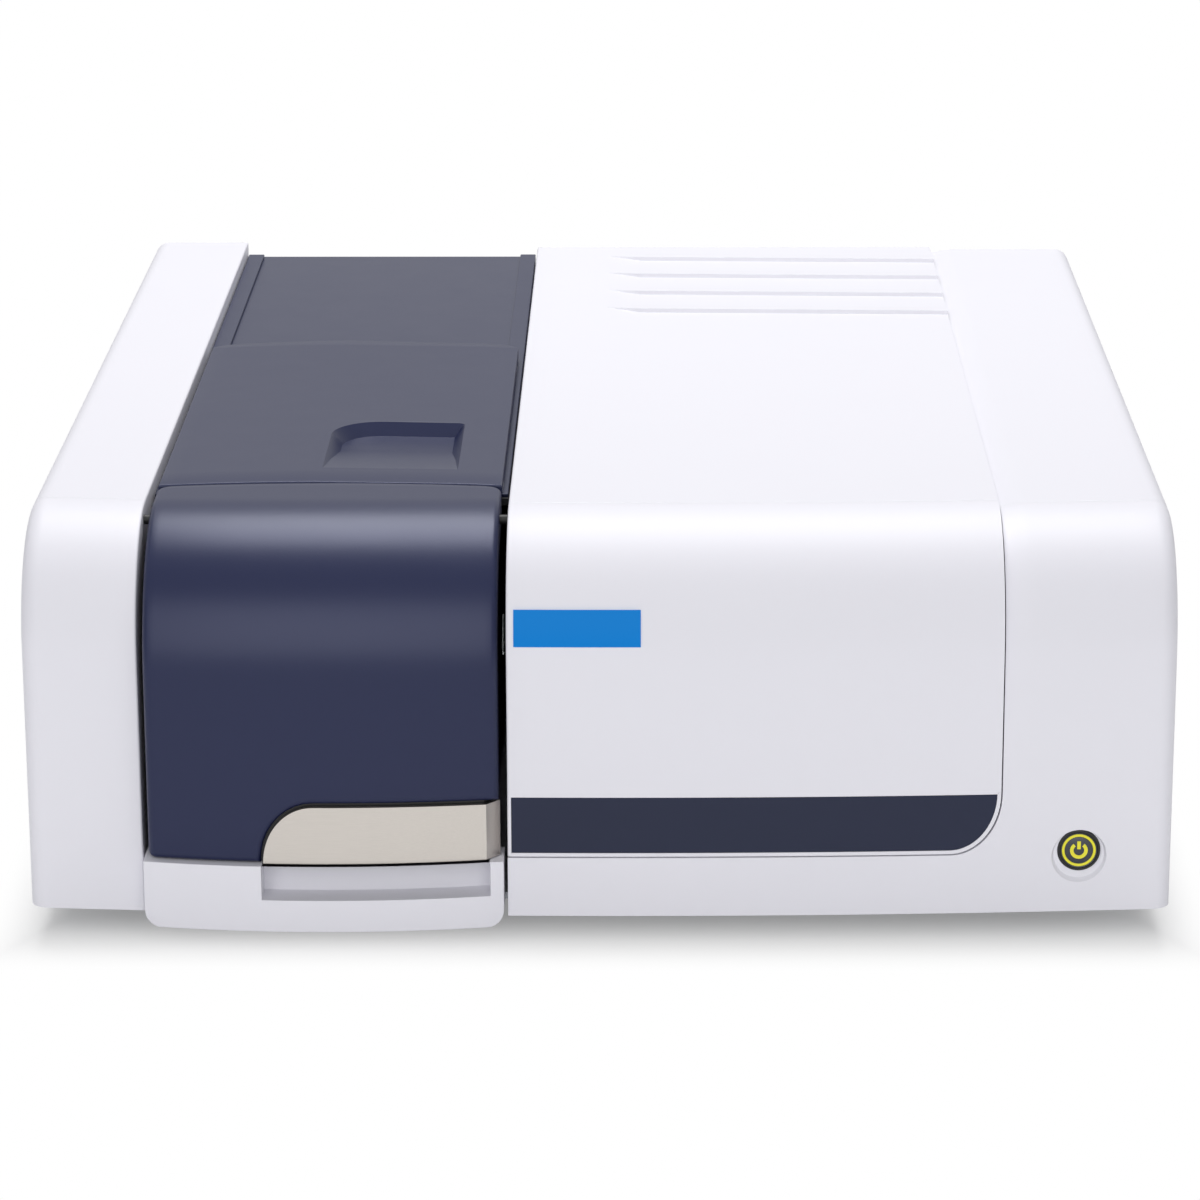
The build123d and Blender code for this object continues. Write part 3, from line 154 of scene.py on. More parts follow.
def noise(tree: NodeTree, place: NodeSocket, size: float, detail: float,
          roughness: float = 0.5) -> NodeSocket:
    """Add cloudy noise.

    Args:
        tree: Node tree that takes it.
        place: Coordinates in metres.
        size: Size of its clouds, in millimetres.
        detail: Number of finer octaves.
        roughness: Strength of each octave beside the one before.

    Returns:
        The noise, from 0 to 1.
    """
    scale = 1 / (size * MM)
    node = add_node(tree, "ShaderNodeTexNoise", {"Vector": place},
                    {"Scale": scale, "Detail": detail, "Roughness": roughness})
    return node.outputs["Fac"]


def spread(tree: NodeTree, value: NodeSocket, middle: float, reach: float,
           low: float = 0.0, high: float = 1.0) -> NodeSocket:
    """Map a value that runs from low to high onto a range that reaches each way from a middle."""
    node = add_node(tree, "ShaderNodeMapRange", {"Value": value},
                    {"From Min": low, "From Max": high, "To Min": middle - reach, "To Max": middle + reach})
    return node.outputs["Result"]


def shade_colour(tree: NodeTree, shader: Node, colour: str, shade: NodeSocket) -> None:
    """Feed a shader's base colour with a colour times a shade."""
    tint = add_node(tree, "ShaderNodeVectorMath", {1: shade}, {0: linear(colour)[:3]}, operation="MULTIPLY")
    tree.links.new(tint.outputs["Vector"], shader.inputs["Base Color"])


def emboss(tree: NodeTree, shader: Node, pattern: NodeSocket, height: float) -> None:
    """Raise a shader's surface by a pattern times a height in millimetres."""
    relief = add_node(tree, "ShaderNodeBump", {"Height": pattern}, {"Strength": 1.0, "Distance": height * MM})
    tree.links.new(relief.outputs["Normal"], shader.inputs["Normal"])


@dataclass(frozen=True)
class Finish:
    """One surface finish: a base colour, a principled shader and a fine relief.

    Colours are sRGB hex. The size and height of the relief's grains and the
    size of the colour's clouds are in millimetres.
    """

    name: str
    colour: str
    roughness: float = 0.5
    metallic: float = 0.0
    ior: float = 1.5
    coat: float = 0.0
    coat_roughness: float = 0.1
    specular: float = 0.5
    specular_tint: str = "#FFFFFF"
    grain: float = 0.6
    height: float = 0.0
    mottle: float = 0.0
    mottle_size: float = 60.0
    gloss_spread: float = 0.0
    gloss_share: float = 0.4
    transmission: float = 0.0
    emission: float = 0.0

    def build(self) -> Material:
        """Make the Blender material of this finish."""
        material = bpy.data.materials.new(self.name)
        material.use_nodes = True
        tree = material.node_tree
        tree.nodes.clear()
        shader = add_node(tree, "ShaderNodeBsdfPrincipled", values={
            "Base Color": linear(self.colour), "Roughness": self.roughness, "Metallic": self.metallic,
            "IOR": self.ior, "Coat Weight": self.coat, "Coat Roughness": self.coat_roughness,
            "Specular IOR Level": self.specular, "Specular Tint": linear(self.specular_tint),
            "Transmission Weight": self.transmission,
            "Emission Color": linear(self.colour), "Emission Strength": self.emission,
        })
        place = add_node(tree, "ShaderNodeTexCoord").outputs["Object"]
        self.dress(tree, shader, place)
        add_node(tree, "ShaderNodeOutputMaterial", links={"Surface": shader.outputs["BSDF"]})
        return material

    def dress(self, tree: NodeTree, shader: Node, place: NodeSocket) -> None:
        """Add the finish's colour variation, gloss variation and relief.

        Args:
            tree: The material's node tree.
            shader: Its principled shader.
            place: Object coordinates, in metres.
        """
        if self.mottle > 0:
            cloud = noise(tree, place, self.mottle_size, 4.0, 0.6)
            shade_colour(tree, shader, self.colour, spread(tree, cloud, 1, self.mottle))
        if self.gloss_spread > 0:
            wear = noise(tree, place, self.gloss_share * self.mottle_size, 6.0, 0.65)
            tree.links.new(spread(tree, wear, self.roughness, self.gloss_spread), shader.inputs["Roughness"])
        if self.height > 0:
            emboss(tree, shader, noise(tree, place, self.grain, 2.0), self.height)


@dataclass(frozen=True)
class SparkErodedMoulding(Finish):
    """ABS moulded in a spark-eroded tool: fine pits that soften and break up the highlight."""

    pit: float = 0.9
    pit_height: float = 0.012
    grit_share: float = 0.45

    def dress(self, tree: NodeTree, shader: Node, place: NodeSocket) -> None:
        """Add the pits of the tool's texture over the plain finish."""
        super().dress(tree, shader, place)
        cells = add_node(tree, "ShaderNodeTexVoronoi", {"Vector": place},
                         {"Scale": 1 / (self.pit * MM), "Randomness": 1.0}, feature="SMOOTH_F1")
        grit = noise(tree, place, self.grit_share * self.pit, 3.0, 0.55)
        both = add_node(tree, "ShaderNodeMath", {0: cells.outputs["Distance"], 1: grit}, operation="ADD")
        emboss(tree, shader, both.outputs["Value"], self.pit_height)


@dataclass(frozen=True)
class BrushedMetal(Finish):
    """Sheet metal brushed along one axis: long fine scratches in colour, gloss and relief."""

    gloss_spread: float = 0.06
    along: Axis = Axis.X
    scratch: float = 0.22
    length: float = 26.0
    contrast: float = 0.05
    low: float = 0.25
    high: float = 0.75

    def dress(self, tree: NodeTree, shader: Node, place: NodeSocket) -> None:
        """Add scratches that are long on the brushed axis and fine across it."""
        scales = [1 / (self.scratch * MM)] * 3
        scales[self.along.value] = 1 / (self.length * MM)
        stretched = add_node(tree, "ShaderNodeMapping", {"Vector": place}, {"Scale": scales})
        lines = noise(tree, stretched.outputs["Vector"], 1 / MM, 3.0, 0.7)
        shade_colour(tree, shader, self.colour, spread(tree, lines, 1, self.contrast, self.low, self.high))
        gloss = spread(tree, lines, self.roughness, self.gloss_spread, self.low, self.high)
        tree.links.new(gloss, shader.inputs["Roughness"])
        emboss(tree, shader, lines, self.height)


@dataclass(frozen=True)
class CircuitBoard(Finish):
    """Glass-fibre board under solder mask: paler lines where its tracks run."""

    track: float = 2.4
    track_colour: str = "#2F7B4C"
    track_edge: tuple[float, float] = (0.02, 0.06)

    def dress(self, tree: NodeTree, shader: Node, place: NodeSocket) -> None:
        """Add the tracks as the paler borders of straight-edged cells."""
        cells = add_node(tree, "ShaderNodeTexVoronoi", {"Vector": place},
                         {"Scale": 1 / (self.track * MM), "Randomness": 0.6}, feature="DISTANCE_TO_EDGE")
        near, far = self.track_edge
        edge = add_node(tree, "ShaderNodeMapRange", {"Value": cells.outputs["Distance"]},
                        {"From Min": near, "From Max": far})
        mask = add_node(tree, "ShaderNodeMix", {0: edge.outputs["Result"]},
                        {6: linear(self.track_colour), 7: linear(self.colour)}, data_type="RGBA")
        tree.links.new(mask.outputs[2], shader.inputs["Base Color"])


@dataclass(frozen=True)
class ClearQuartz(Finish):
    """Polished quartz: clear, with a very slight haze from handling."""

    mottle_size: float = 8.0

    def dress(self, tree: NodeTree, shader: Node, place: NodeSocket) -> None:
        """Add the haze as a spread of the roughness."""
        haze = noise(tree, place, self.mottle_size, 4.0)
        tree.links.new(spread(tree, haze, self.roughness, self.roughness), shader.inputs["Roughness"])


# Each finish is named for what the real surface is and how it was made.
FINISHES: dict[str, Finish] = {
    # Painted polyurethane housing: cool white, satin, with the faint orange peel of sprayed paint.
    "white_shell": Finish("SatinWhitePaint", "#E8E7EE", roughness=0.45, specular=0.3, coat=0.05,
                          coat_roughness=0.3, grain=1.6, height=0.004, mottle=0.006, gloss_spread=0.02),
    # Slate-blue ABS from a spark-eroded tool: a broad soft highlight with a fine sparkle.
    "slate_panel": SparkErodedMoulding("SlateErodedAbs", "#1A2040", roughness=0.34,
                                       specular_tint="#E2E6FF", mottle=0.02, gloss_spread=0.02),
    # Smooth slate-blue band let into the cover: less pitted, a little darker.
    "slate_stripe": Finish("SlateSmoothAbs", "#20263E", roughness=0.36, specular=0.3, grain=0.8, height=0.003,
                           mottle=0.02, gloss_spread=0.02),
    # Printed polyester label, left plain: even blue under a clear satin film.
    "label_blue": Finish("BluePrintedFilm", "#0080D4", roughness=0.42, specular=0.12, grain=1.2,
                         height=0.002, mottle=0.006),
    # Brushed stainless sheet: warm grey with fine lines along the handle.
    "brushed_handle": BrushedMetal("BrushedStainless", "#CFC9C2", roughness=0.34, metallic=1.0, height=0.006),
    # Black moulded ABS: matt with a fine grain, the edges catch a thin light.
    "black_plastic": SparkErodedMoulding("BlackErodedAbs", "#161719", roughness=0.5, pit=0.6,
                                         pit_height=0.008, mottle=0.04),
    # Yellow light guide: translucent acrylic lit from behind.
    "yellow_light": Finish("LitYellowAcrylic", "#D8D02E", roughness=0.3, emission=0.2, grain=0.8,
                           height=0.002, mottle=0.03, mottle_size=3.0),
    # Dark satin cap of the power button.
    "button_face": Finish("SlateSatinCap", "#2B303A", roughness=0.32, coat=0.3, coat_roughness=0.2,
                          grain=0.5, height=0.003, mottle=0.03, mottle_size=4.0),
    # Zinc-coated steel sheet: cool grey with the dull cloud of its coating.
    "sheet_steel": Finish("ZincCoatedSteel", "#B4B8BD", roughness=0.42, metallic=0.85, grain=4.0,
                          height=0.004, mottle=0.09, mottle_size=14.0, gloss_spread=0.09),
    # Black powder coat: an even orange peel about 1.5 mm across.
    "black_paint": Finish("BlackPowderCoat", "#1D1E21", roughness=0.55, grain=1.5, height=0.03,
                          mottle=0.05, gloss_spread=0.04),
    # Milled and bead-blasted aluminium: pale, fine grit.
    "bare_aluminium": Finish("BlastedAluminium", "#CFD1D4", roughness=0.38, metallic=1.0, grain=0.5,
                             height=0.01, mottle=0.03, mottle_size=20.0, gloss_spread=0.05),
    # Ground bright steel: fine lines along X.
    "bright_steel": BrushedMetal("GroundSteel", "#BFC0C3", roughness=0.26, metallic=1.0, height=0.004,
                                 length=12.0),
    # Moulded rubber: dark, dull, with a dusty bloom.
    "soft_rubber": Finish("MouldedRubber", "#1B1B1C", roughness=0.78, specular=0.3, grain=0.9,
                          height=0.02, mottle=0.12, mottle_size=9.0),
    # Open-cell foam: coarse pores about 1 mm wide.
    "seal_foam": Finish("OpenCellFoam", "#232427", roughness=0.95, specular=0.2, grain=1.0, height=0.25,
                        mottle=0.1, mottle_size=3.0),
    "quartz": ClearQuartz("PolishedQuartz", "#F4F8FA", roughness=0.03, ior=1.46, transmission=1.0),
    "filter_glass": ClearQuartz("TintedFilterGlass", "#8FB1DC", roughness=0.03, ior=1.52,
                                transmission=0.9),
    # Front-surface mirror: aluminium evaporated on glass.
    "mirror_coat": Finish("EvaporatedAluminium", "#E6E8EB", roughness=0.04, metallic=1.0,
                          gloss_spread=0.02, mottle_size=10.0),
    "board_green": CircuitBoard("SolderMaskedBoard", "#1D5B38", roughness=0.4, coat=0.3),
    # Natural acetal: waxy off-white.
    "glide_plastic": Finish("NaturalAcetal", "#D9D8D0", roughness=0.4, grain=0.8, height=0.004,
                            mottle=0.02),
}


# Surfaces that the flat skins are bent over


def clamped(value: float) -> float:
    """Value held between 0 and 1."""
    return min(max(value, 0.0), 1.0)


def blend_step(value: float) -> float:
    """Smooth step from 0 to 1 over the same span of value."""
    t = clamped(value)
    return t * t * (3 - 2 * t)


def fall(radius: float, off: float) -> float:
    """How far an arc falls back at a distance from its middle."""
    return radius - math.sqrt(radius ** 2 - off ** 2)


class Front:
    """A front that rises from the bench, rolls over and runs back as a top.

    A point of a skin is given by x, by its run and by its depth. The run is
    the height up the front, then the arc of the roll and then the way back.
    """

    face_y: float
    roll: float
    top: float

    @property
    def roll_start(self) -> float:
        """Run at which the front begins to roll over."""
        return self.top - self.roll

    @property
    def top_start(self) -> float:
        """Run at which the flat top begins."""
        return self.roll_start + self.roll * math.pi / 2

    def run_back(self, y: float) -> float:
        """Run of the place on the top that has the given y."""
        return self.top_start + y - self.face_y - self.roll

    def run_up(self, z: float) -> float:
        """Run of the place on the front or the roll that has the given z."""
        if z <= self.roll_start:
            return z
        return self.roll_start + self.roll * math.asin((z - self.roll_start) / self.roll)

    def point(self, x: float, run: float) -> Vector:
        """Point of the surface itself."""
        raise NotImplementedError

    def place(self, x: float, run: float, depth: float) -> Vector:
        """Point at a depth below the surface.

        Args:
            x: Place across the front.
            run: Place along the front, roll and top.
            depth: Distance inwards, square to the surface in its side view; x stays.

        Returns:
            The point in millimetres.
        """
        step = 0.05
        here = self.point(x, run)
        across = self.point(x + step, run) - self.point(x - step, run)
        along = self.point(x, run + step) - self.point(x, run - step)
        outward = across.cross(along)
        outward.x = 0
        return here - outward.normalized() * depth

    def profile(self, run: float) -> tuple[float, float]:
        """Plain y and z of the front's section at a run, before any bow."""
        if run <= self.roll_start:
            return self.face_y, run
        if run >= self.top_start:
            return self.face_y + self.roll + run - self.top_start, self.top
        turn = (run - self.roll_start) / self.roll
        return (self.face_y + self.roll * (1 - math.cos(turn)),
                self.roll_start + self.roll * math.sin(turn))


@dataclass(frozen=True)
class CaseFront(Front):
    """The case: a front bowed gently in plan under a flat top."""

    face_y: float = -273.0
    bow: float = 3000.0
    roll: float = 51.8
    top: float = 182.2
    settle: float = 60.0

    def point(self, x: float, run: float) -> Vector:
        """Point of the case's surface; the bow dies out over the first part of the top."""
        y, z = self.profile(run)
        fade = 1 - clamped((run - self.top_start) / self.settle)
        return Vector((x, y + fall(self.bow, x) * fade, z))


@dataclass(frozen=True)
class BayFront(Front):
    """The bay's door and lid: bowed in plan and crowned from side to side."""

    centre: float = -114.25
    face_y: float = -281.0
    bow: float = 400.0
    crown: float = 1600.0
    roll: float = 59.8
    top: float = 183.92
    foot: float = 43.9
    settle: float = 26.0

    def point(self, x: float, run: float) -> Vector:
        """Point of the door's or the lid's surface."""
        y, z = self.profile(run)
        off = x - self.centre
        fade = 1 - clamped((run - self.top_start) / self.settle)
        lift = clamped((run - self.foot) / (self.roll_start - self.foot))
        return Vector((x, y + fall(self.bow, off) * fade, z - fall(self.crown, off) * lift))


# Mesh tools


def spaced(start: float, end: float, count: int) -> list[float]:
    """Evenly spaced values between two ends, without the ends."""
    return [start + (end - start) * step / count for step in range(1, count)]


def publish(bm: BMesh, name: str, slot: str, body: Body, replaced: Sequence[str] = (),
            sharp: float = 32.0) -> Object:
    """Turn a bmesh in millimetres into a dressed object that rides on a body.

    Args:
        bm: The finished mesh; it is freed.
        name: Name of the new object.
        slot: The record's material slot, whose finish the piece takes.
        body: Body that carries the piece.
        replaced: CAD nodes that the piece stands for.
        sharp: Angle in degrees above which an edge stays sharp.

    Returns:
        The new object.
    """
    bmesh.ops.scale(bm, vec=(MM, MM, MM), verts=bm.verts)
    mesh = bpy.data.meshes.new(name)
    bm.to_mesh(mesh)
    bm.free()
    mesh.shade_smooth()
    mesh.set_sharp_from_angle(angle=math.radians(sharp))
    obj = bpy.data.objects.new(name, mesh)
    bpy.context.scene.collection.objects.link(obj)
    mesh.materials.append(bpy.data.materials[FINISHES[slot].name])
    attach(obj, body.value)
    if replaced:
        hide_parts(*replaced)
    LOG.info("%s: %d faces on %s", name, len(mesh.polygons), body.value)
    return obj


def finish_edges(obj: Object, wall: float = 0.0, edge: float = 0.4, segments: int = 2,
                 angle: float = 40.0) -> Object:
    """Give a skin its wall thickness and soft edges.

    Args:
        obj: The piece.
        wall: Thickness added inwards, in millimetres; 0 leaves a solid as it is.
        edge: Radius of the edges, in millimetres; 0 leaves them sharp.
        segments: Facets over each rounded edge.
        angle: Edges that turn by more than this angle, in degrees, are rounded.

    Returns:
        The same piece.
    """
    if wall > 0:
        shell = obj.modifiers.new("wall", "SOLIDIFY")
        shell.thickness = wall * MM
        shell.offset = -1
    if edge > 0:
        bevel = obj.modifiers.new("edges", "BEVEL")
        bevel.width = edge * MM
        bevel.segments = segments
        bevel.limit_method = "ANGLE"
        bevel.angle_limit = math.radians(angle)
        bevel.harden_normals = True
    return obj


def new_face(bm: BMesh, corners: Iterable[Sequence[float]]) -> BMFace:
    """One face between corners given in order, which may be concave."""
    return bm.faces.new([bm.verts.new(Vector(tuple(c) + (0.0,) * (3 - len(c)))) for c in corners])


def box_corners(x0: float, y0: float, x1: float, y1: float) -> list[tuple[float, float]]:
    """Corners of a rectangle, counter-clockwise from its lower left."""
    return [(x0, y0), (x1, y0), (x1, y1), (x0, y1)]


def verts_of(geom: Iterable[object]) -> list[BMVert]:
    """Vertices among the elements that an operator made."""
    return [g for g in geom if isinstance(g, BMVert)]


def border_at(bm: BMesh, axis: Axis, place: float, reach: float) -> list[BMEdge]:
    """Border edges that lie, within a reach, at one place on an axis."""
    return [e for e in bm.edges if e.is_boundary
            and all(abs(v.co[axis.value] - place) < reach for v in e.verts)]


def slice_all(bm: BMesh, axis: Axis, places: Iterable[float], right_end: float = math.inf) -> None:
    """Cut every face along planes square to an axis, leaving both sides.

    Args:
        bm: Mesh to cut.
        axis: Axis that the planes are square to.
        places: Where the planes lie on it.
        right_end: Faces whose middle lies further to the right stay whole.
    """
    normal = Vector((0, 0, 0))
    normal[axis.value] = 1
    for place in places:
        faces = [f for f in bm.faces if f.calc_center_median().x < right_end]
        edges = list(dict.fromkeys(e for f in faces for e in f.edges))
        verts = list(dict.fromkeys(v for e in edges for v in e.verts))
        bmesh.ops.bisect_plane(bm, geom=verts + edges + faces, dist=1e-5, plane_co=normal * place,
                               plane_no=normal)


def inset(bm: BMesh, faces: Sequence[BMFace], thickness: float, depth: float = 0.0) -> None:
    """Inset faces as one region, from its open border too, and raise them by a depth."""
    bmesh.ops.inset_region(bm, faces=faces, thickness=thickness, depth=depth, use_even_offset=True,
                           use_boundary=True)


def round_corner(bm: BMesh, corner: tuple[float, float], width: float, height: float,
                 segments: int = 16) -> None:
    """Round a flat outline's corner to a quarter ellipse.

    Args:
        bm: Mesh with the outline.
        corner: The corner's place.
        width: Half axis of the ellipse in x.
        height: Half axis in run.
        segments: Facets over the quarter.
    """
    ratio = width / height
    bmesh.ops.scale(bm, vec=(1, ratio, 1), verts=bm.verts)
    vert = min(bm.verts, key=lambda v: (v.co - Vector((corner[0], corner[1] * ratio, 0))).length)
    bmesh.ops.bevel(bm, geom=[vert], offset=width, offset_type="OFFSET", segments=segments, profile=0.5,
                    affect="VERTICES", material=-1)
    bmesh.ops.scale(bm, vec=(1, 1 / ratio, 1), verts=bm.verts)


def fold_side(bm: BMesh, side_x: float, inward: int, depth: float, radius: float, segments: int = 6) -> None:
    """Fold a flat skin's straight side down over a rounded edge.

    Args:
        bm: The flat skin, its outside towards +Z.
        side_x: The side's x.
        inward: 1 where the skin lies at greater x, -1 where it lies at smaller x.
        depth: How far the fold reaches down.
        radius: Radius of the fold.
        segments: Facets over the fold.
    """
    rim = border_at(bm, Axis.X, side_x, HAIR)
    start = {v for e in rim for v in e.verts}
    bmesh.ops.translate(bm, vec=(inward * radius, 0, 0), verts=list(start))
    steps = [(radius * math.sin(turn), radius * (1 - math.cos(turn)))
             for turn in (math.pi / 2 * step / segments for step in range(1, segments + 1))]
    steps.append((radius, depth))
    last = (0.0, 0.0)
    for out, down in steps:
        made = bmesh.ops.extrude_edge_only(bm, edges=rim)["geom"]
        rim = [g for g in made if isinstance(g, BMEdge)]
        bmesh.ops.translate(bm, vec=(-inward * (out - last[0]), 0, last[1] - down), verts=verts_of(made))
        last = (out, down)


def fold_outline(bm: BMesh, depth: float, radius: float, segments: int = 5) -> None:
    """Fold one flat face's whole outline down over a rounded edge.

    Args:
        bm: Mesh of the one face; the face stays at the height where it was.
        depth: How far the fold reaches down.
        radius: Radius of the fold.
        segments: Facets over the fold.
    """
    bm.faces.ensure_lookup_table()
    face = bm.faces[0]
    face.normal_update()
    if face.normal.z < 0:
        face.normal_flip()
    bmesh.ops.translate(bm, vec=(0, 0, -depth), verts=bm.verts[:])
    inset(bm, [face], HAIR / 10, depth - radius)
    last = (0.0, 0.0)
    for step in range(1, segments + 1):
        turn = math.pi / 2 * step / segments
        inside, up = radius * (1 - math.cos(turn)), radius * math.sin(turn)
        inset(bm, [face], inside - last[0], up - last[1])
        last = (inside, up)


def bend(bm: BMesh, front: Front) -> None:
    """Bend a flat mesh over a front: x stays, y is the run and -z the depth."""
    for vert in bm.verts:
        vert.co = front.place(vert.co.x, vert.co.y, -vert.co.z)


def fill_flank(bm: BMesh, side_x: float, back: float, low: float) -> None:
    """Close a bent skin's side with one flat face down to its lower rear corner.

    Args:
        bm: The bent skin.
        side_x: The side's x.
        back: The side's rear y.
        low: The side's lowest z.
    """
    edges = border_at(bm, Axis.X, side_x, NEAR)
    start = min({v for e in edges for v in e.verts}, key=lambda v: (round(v.co.z, 1), -v.co.y))
    corner = bm.verts.new((side_x, back, low))
    bm.faces.new(walk_chain(start, edges) + [corner])


def walk_chain(start: BMVert, edges: Sequence[BMEdge]) -> list[BMVert]:
    """Vertices of a chain of edges in order, from one of its ends."""
    left = set(edges)
    chain = [start]
    while True:
        step = next((e for e in chain[-1].link_edges if e in left), None)
        if step is None:
            return chain
        left.discard(step)
        chain.append(step.other_vert(chain[-1]))


def lathe(points: Sequence[tuple[float, float]], centre: Vector, axis: Axis, steps: int = 64) -> BMesh:
    """Turn a profile about an axis.

    Args:
        points: Radius and place along the axis, in order.
        centre: Point on the axis that the places count from.
        axis: Axis of the round.
        steps: Facets in the whole round.

    Returns:
        The closed round in millimetres.
    """
    bm = bmesh.new()
    along = Vector((0, 0, 0))
    along[axis.value] = 1
    out = Vector((0, 0, 1)) if axis is not Axis.Z else Vector((1, 0, 0))
    verts = [bm.verts.new(centre + out * r + along * t) for r, t in points]
    edges = [bm.edges.new(pair) for pair in zip(verts, verts[1:])]
    bmesh.ops.spin(bm, geom=verts + edges, cent=centre, axis=along, angle=2 * math.pi, steps=steps,
                   use_merge=True, use_duplicate=False)
    bmesh.ops.remove_doubles(bm, verts=bm.verts, dist=1e-4)
    bmesh.ops.recalc_face_normals(bm, faces=bm.faces)
    return bm


# Housings


@dataclass
class Housings:
    """The three white mouldings of the case."""

    left: float = -238.5
    right: float = 238.5
    bay_left: float = -190.0
    cover_left: float = -37.9
    cover_right: float = 166.5
    right_left: float = 167.1
    low: float = 18.0
    cover_low: float = 44.2
    seam: float = 0.6
    left_back: float = 283.5
    right_back: float = 271.5
    wall: float = 3.0
    edge: float = 0.45
    left_edge: float = 0.5
    low_cuts: tuple[float, ...] = (1.2, 6.0)
    face_cuts: tuple[float, ...] = (70.0, 90.0, 110.0)
    roll_lead: float = 0.5
    roll_facets: int = 26
    top_cuts: tuple[float, ...] = (0.5, 12.0, 30.0)
    fold: float = 12.0
    outer_round: float = 7.0
    outer_facets: int = 8
    inner_round: float = 1.0
    inner_facets: int = 3
    crease_back: float = 0.25
    crease_half: float = 0.35
    crease_depth: float = 0.12
    stripe_top: float = 70.0
    rim: float = 1.7
    rim_gap: float = 0.15
    corner_run: float = 21.1
    corner_rise: float = 26.2
    corner_facets: int = 20
    louvres: tuple[float, ...] = (124.5, 163.0, 201.5, 240.0)
    louvre_step: float = 0.5
    louvre_rise: float = 1.8
    louvre_length: float = 31.0
    louvre_left: float = 16.0
    louvre_tip: float = 16.0
    louvre_sweep: float = 10.0
    louvre_slant: float = 5.0
    sill_cuts: tuple[float, ...] = (30.0, 35.0, 40.0, 46.0, 52.0, 57.0, 65.0)
    drop: float = 1.2
    drop_from: float = 100.0
    drop_over: float = 60.0
    valley: float = 10.0
    valley_cuts: tuple[float, ...] = (0.15, 0.35, 0.55, 0.75, 1.0, 1.15)
    valley_depth: float = 1.6
    valley_from: float = 75.0
    valley_over: float = 50.0
    button: tuple[float, float] = BUTTON
    hole: float = 9.05
    dish_reach: float = 17.0
    dish_margin: float = 2.0
    dish_cuts: int = 15
    dish_rings: tuple[float, ...] = (14.0, 12.6, 11.9, 11.5, 11.2, 10.9, 10.6, 10.3, 9.8)
    dish_inner: float = 10.5
    dish_edge: float = 1.1
    dish_depth: float = 1.55
    dish_drop: float = 2.2
    dish_lean: float = 0.97
    front: CaseFront = CaseFront()

    def build(self) -> None:
        """Build the three shells."""
        self.left_housing()
        self.centre_cover()
        self.right_housing()

    def grid(self, bm: BMesh, columns: Iterable[float]) -> None:
        """Cut a flat skin finely enough to bend over the roll and the bow."""
        front = self.front
        slice_all(bm, Axis.X, columns)
        slice_all(bm, Axis.Y, [self.low + up for up in self.low_cuts] + list(self.face_cuts)
                  + [front.roll_start - self.roll_lead]
                  + spaced(front.roll_start, front.top_start, self.roll_facets)
                  + [front.top_start + back for back in self.top_cuts + (front.settle,)])

    def crease(self, bm: BMesh) -> None:
        """Press the fine line where the roll meets the top."""
        line = self.front.top_start + self.crease_back
        slice_all(bm, Axis.Y, [line - self.crease_half, line, line + self.crease_half])
        for vert in bm.verts:
            if abs(vert.co.y - line) < SLIVER:
                vert.co.z -= self.crease_depth

    def bend_shell(self, bm: BMesh, sides: Iterable[float], back: float, low: float) -> None:
        """Bend a flat skin over the case and close its folded sides."""
        bend(bm, self.front)
        for side in sides:
            fill_flank(bm, side, back, low)

    def publish_shell(self, bm: BMesh, name: str, node: str, edge: float) -> None:
        """Publish a white shell that stands for a CAD node."""
        bmesh.ops.recalc_face_normals(bm, faces=bm.faces)
        finish_edges(publish(bm, name, "white_shell", Body.INSTRUMENT, [node]), self.wall, edge)

    def left_housing(self) -> None:
        """Shell beside the sample bay."""
        bm = bmesh.new()
        new_face(bm, box_corners(self.left, self.low, self.bay_left, self.front.run_back(self.left_back)))
        self.grid(bm, spaced(self.left, self.bay_left, 6))
        self.crease(bm)
        fold_side(bm, self.left, 1, self.fold, self.outer_round, self.outer_facets)
        fold_side(bm, self.bay_left, -1, self.fold, self.inner_round, self.inner_facets)
        self.bend_shell(bm, (self.left, self.bay_left), self.left_back, self.low)
        close_back(bm, self.left_back, self.low)
        self.publish_shell(bm, "left_shell", "left_housing", self.left_edge)

    def centre_cover(self) -> None:
        """Cover over the optics, with the stripe's recess and the louvres."""
        bm = bmesh.new()
        new_face(bm, box_corners(self.cover_left, self.cover_low, self.cover_right,
                                 self.front.run_back(self.right_back)))
        round_corner(bm, (self.cover_right, self.cover_low), self.corner_run, self.corner_rise,
                     self.corner_facets)
        slice_all(bm, Axis.Y, [self.stripe_top + self.rim])
        lower = min(bm.faces, key=lambda f: f.calc_center_median().y)
        inset(bm, [lower], self.rim - self.rim_gap)
        bmesh.ops.delete(bm, geom=[lower], context="FACES")
        self.grid(bm, spaced(self.cover_left, self.cover_right, 18))
        self.crease(bm)
        self.press_louvres(bm)
        fold_side(bm, self.cover_left, 1, self.fold, self.inner_round, self.inner_facets)
        self.bend_shell(bm, [self.cover_left], self.right_back, self.cover_low)
        self.publish_shell(bm, "centre_shell", "centre_cover", self.edge)

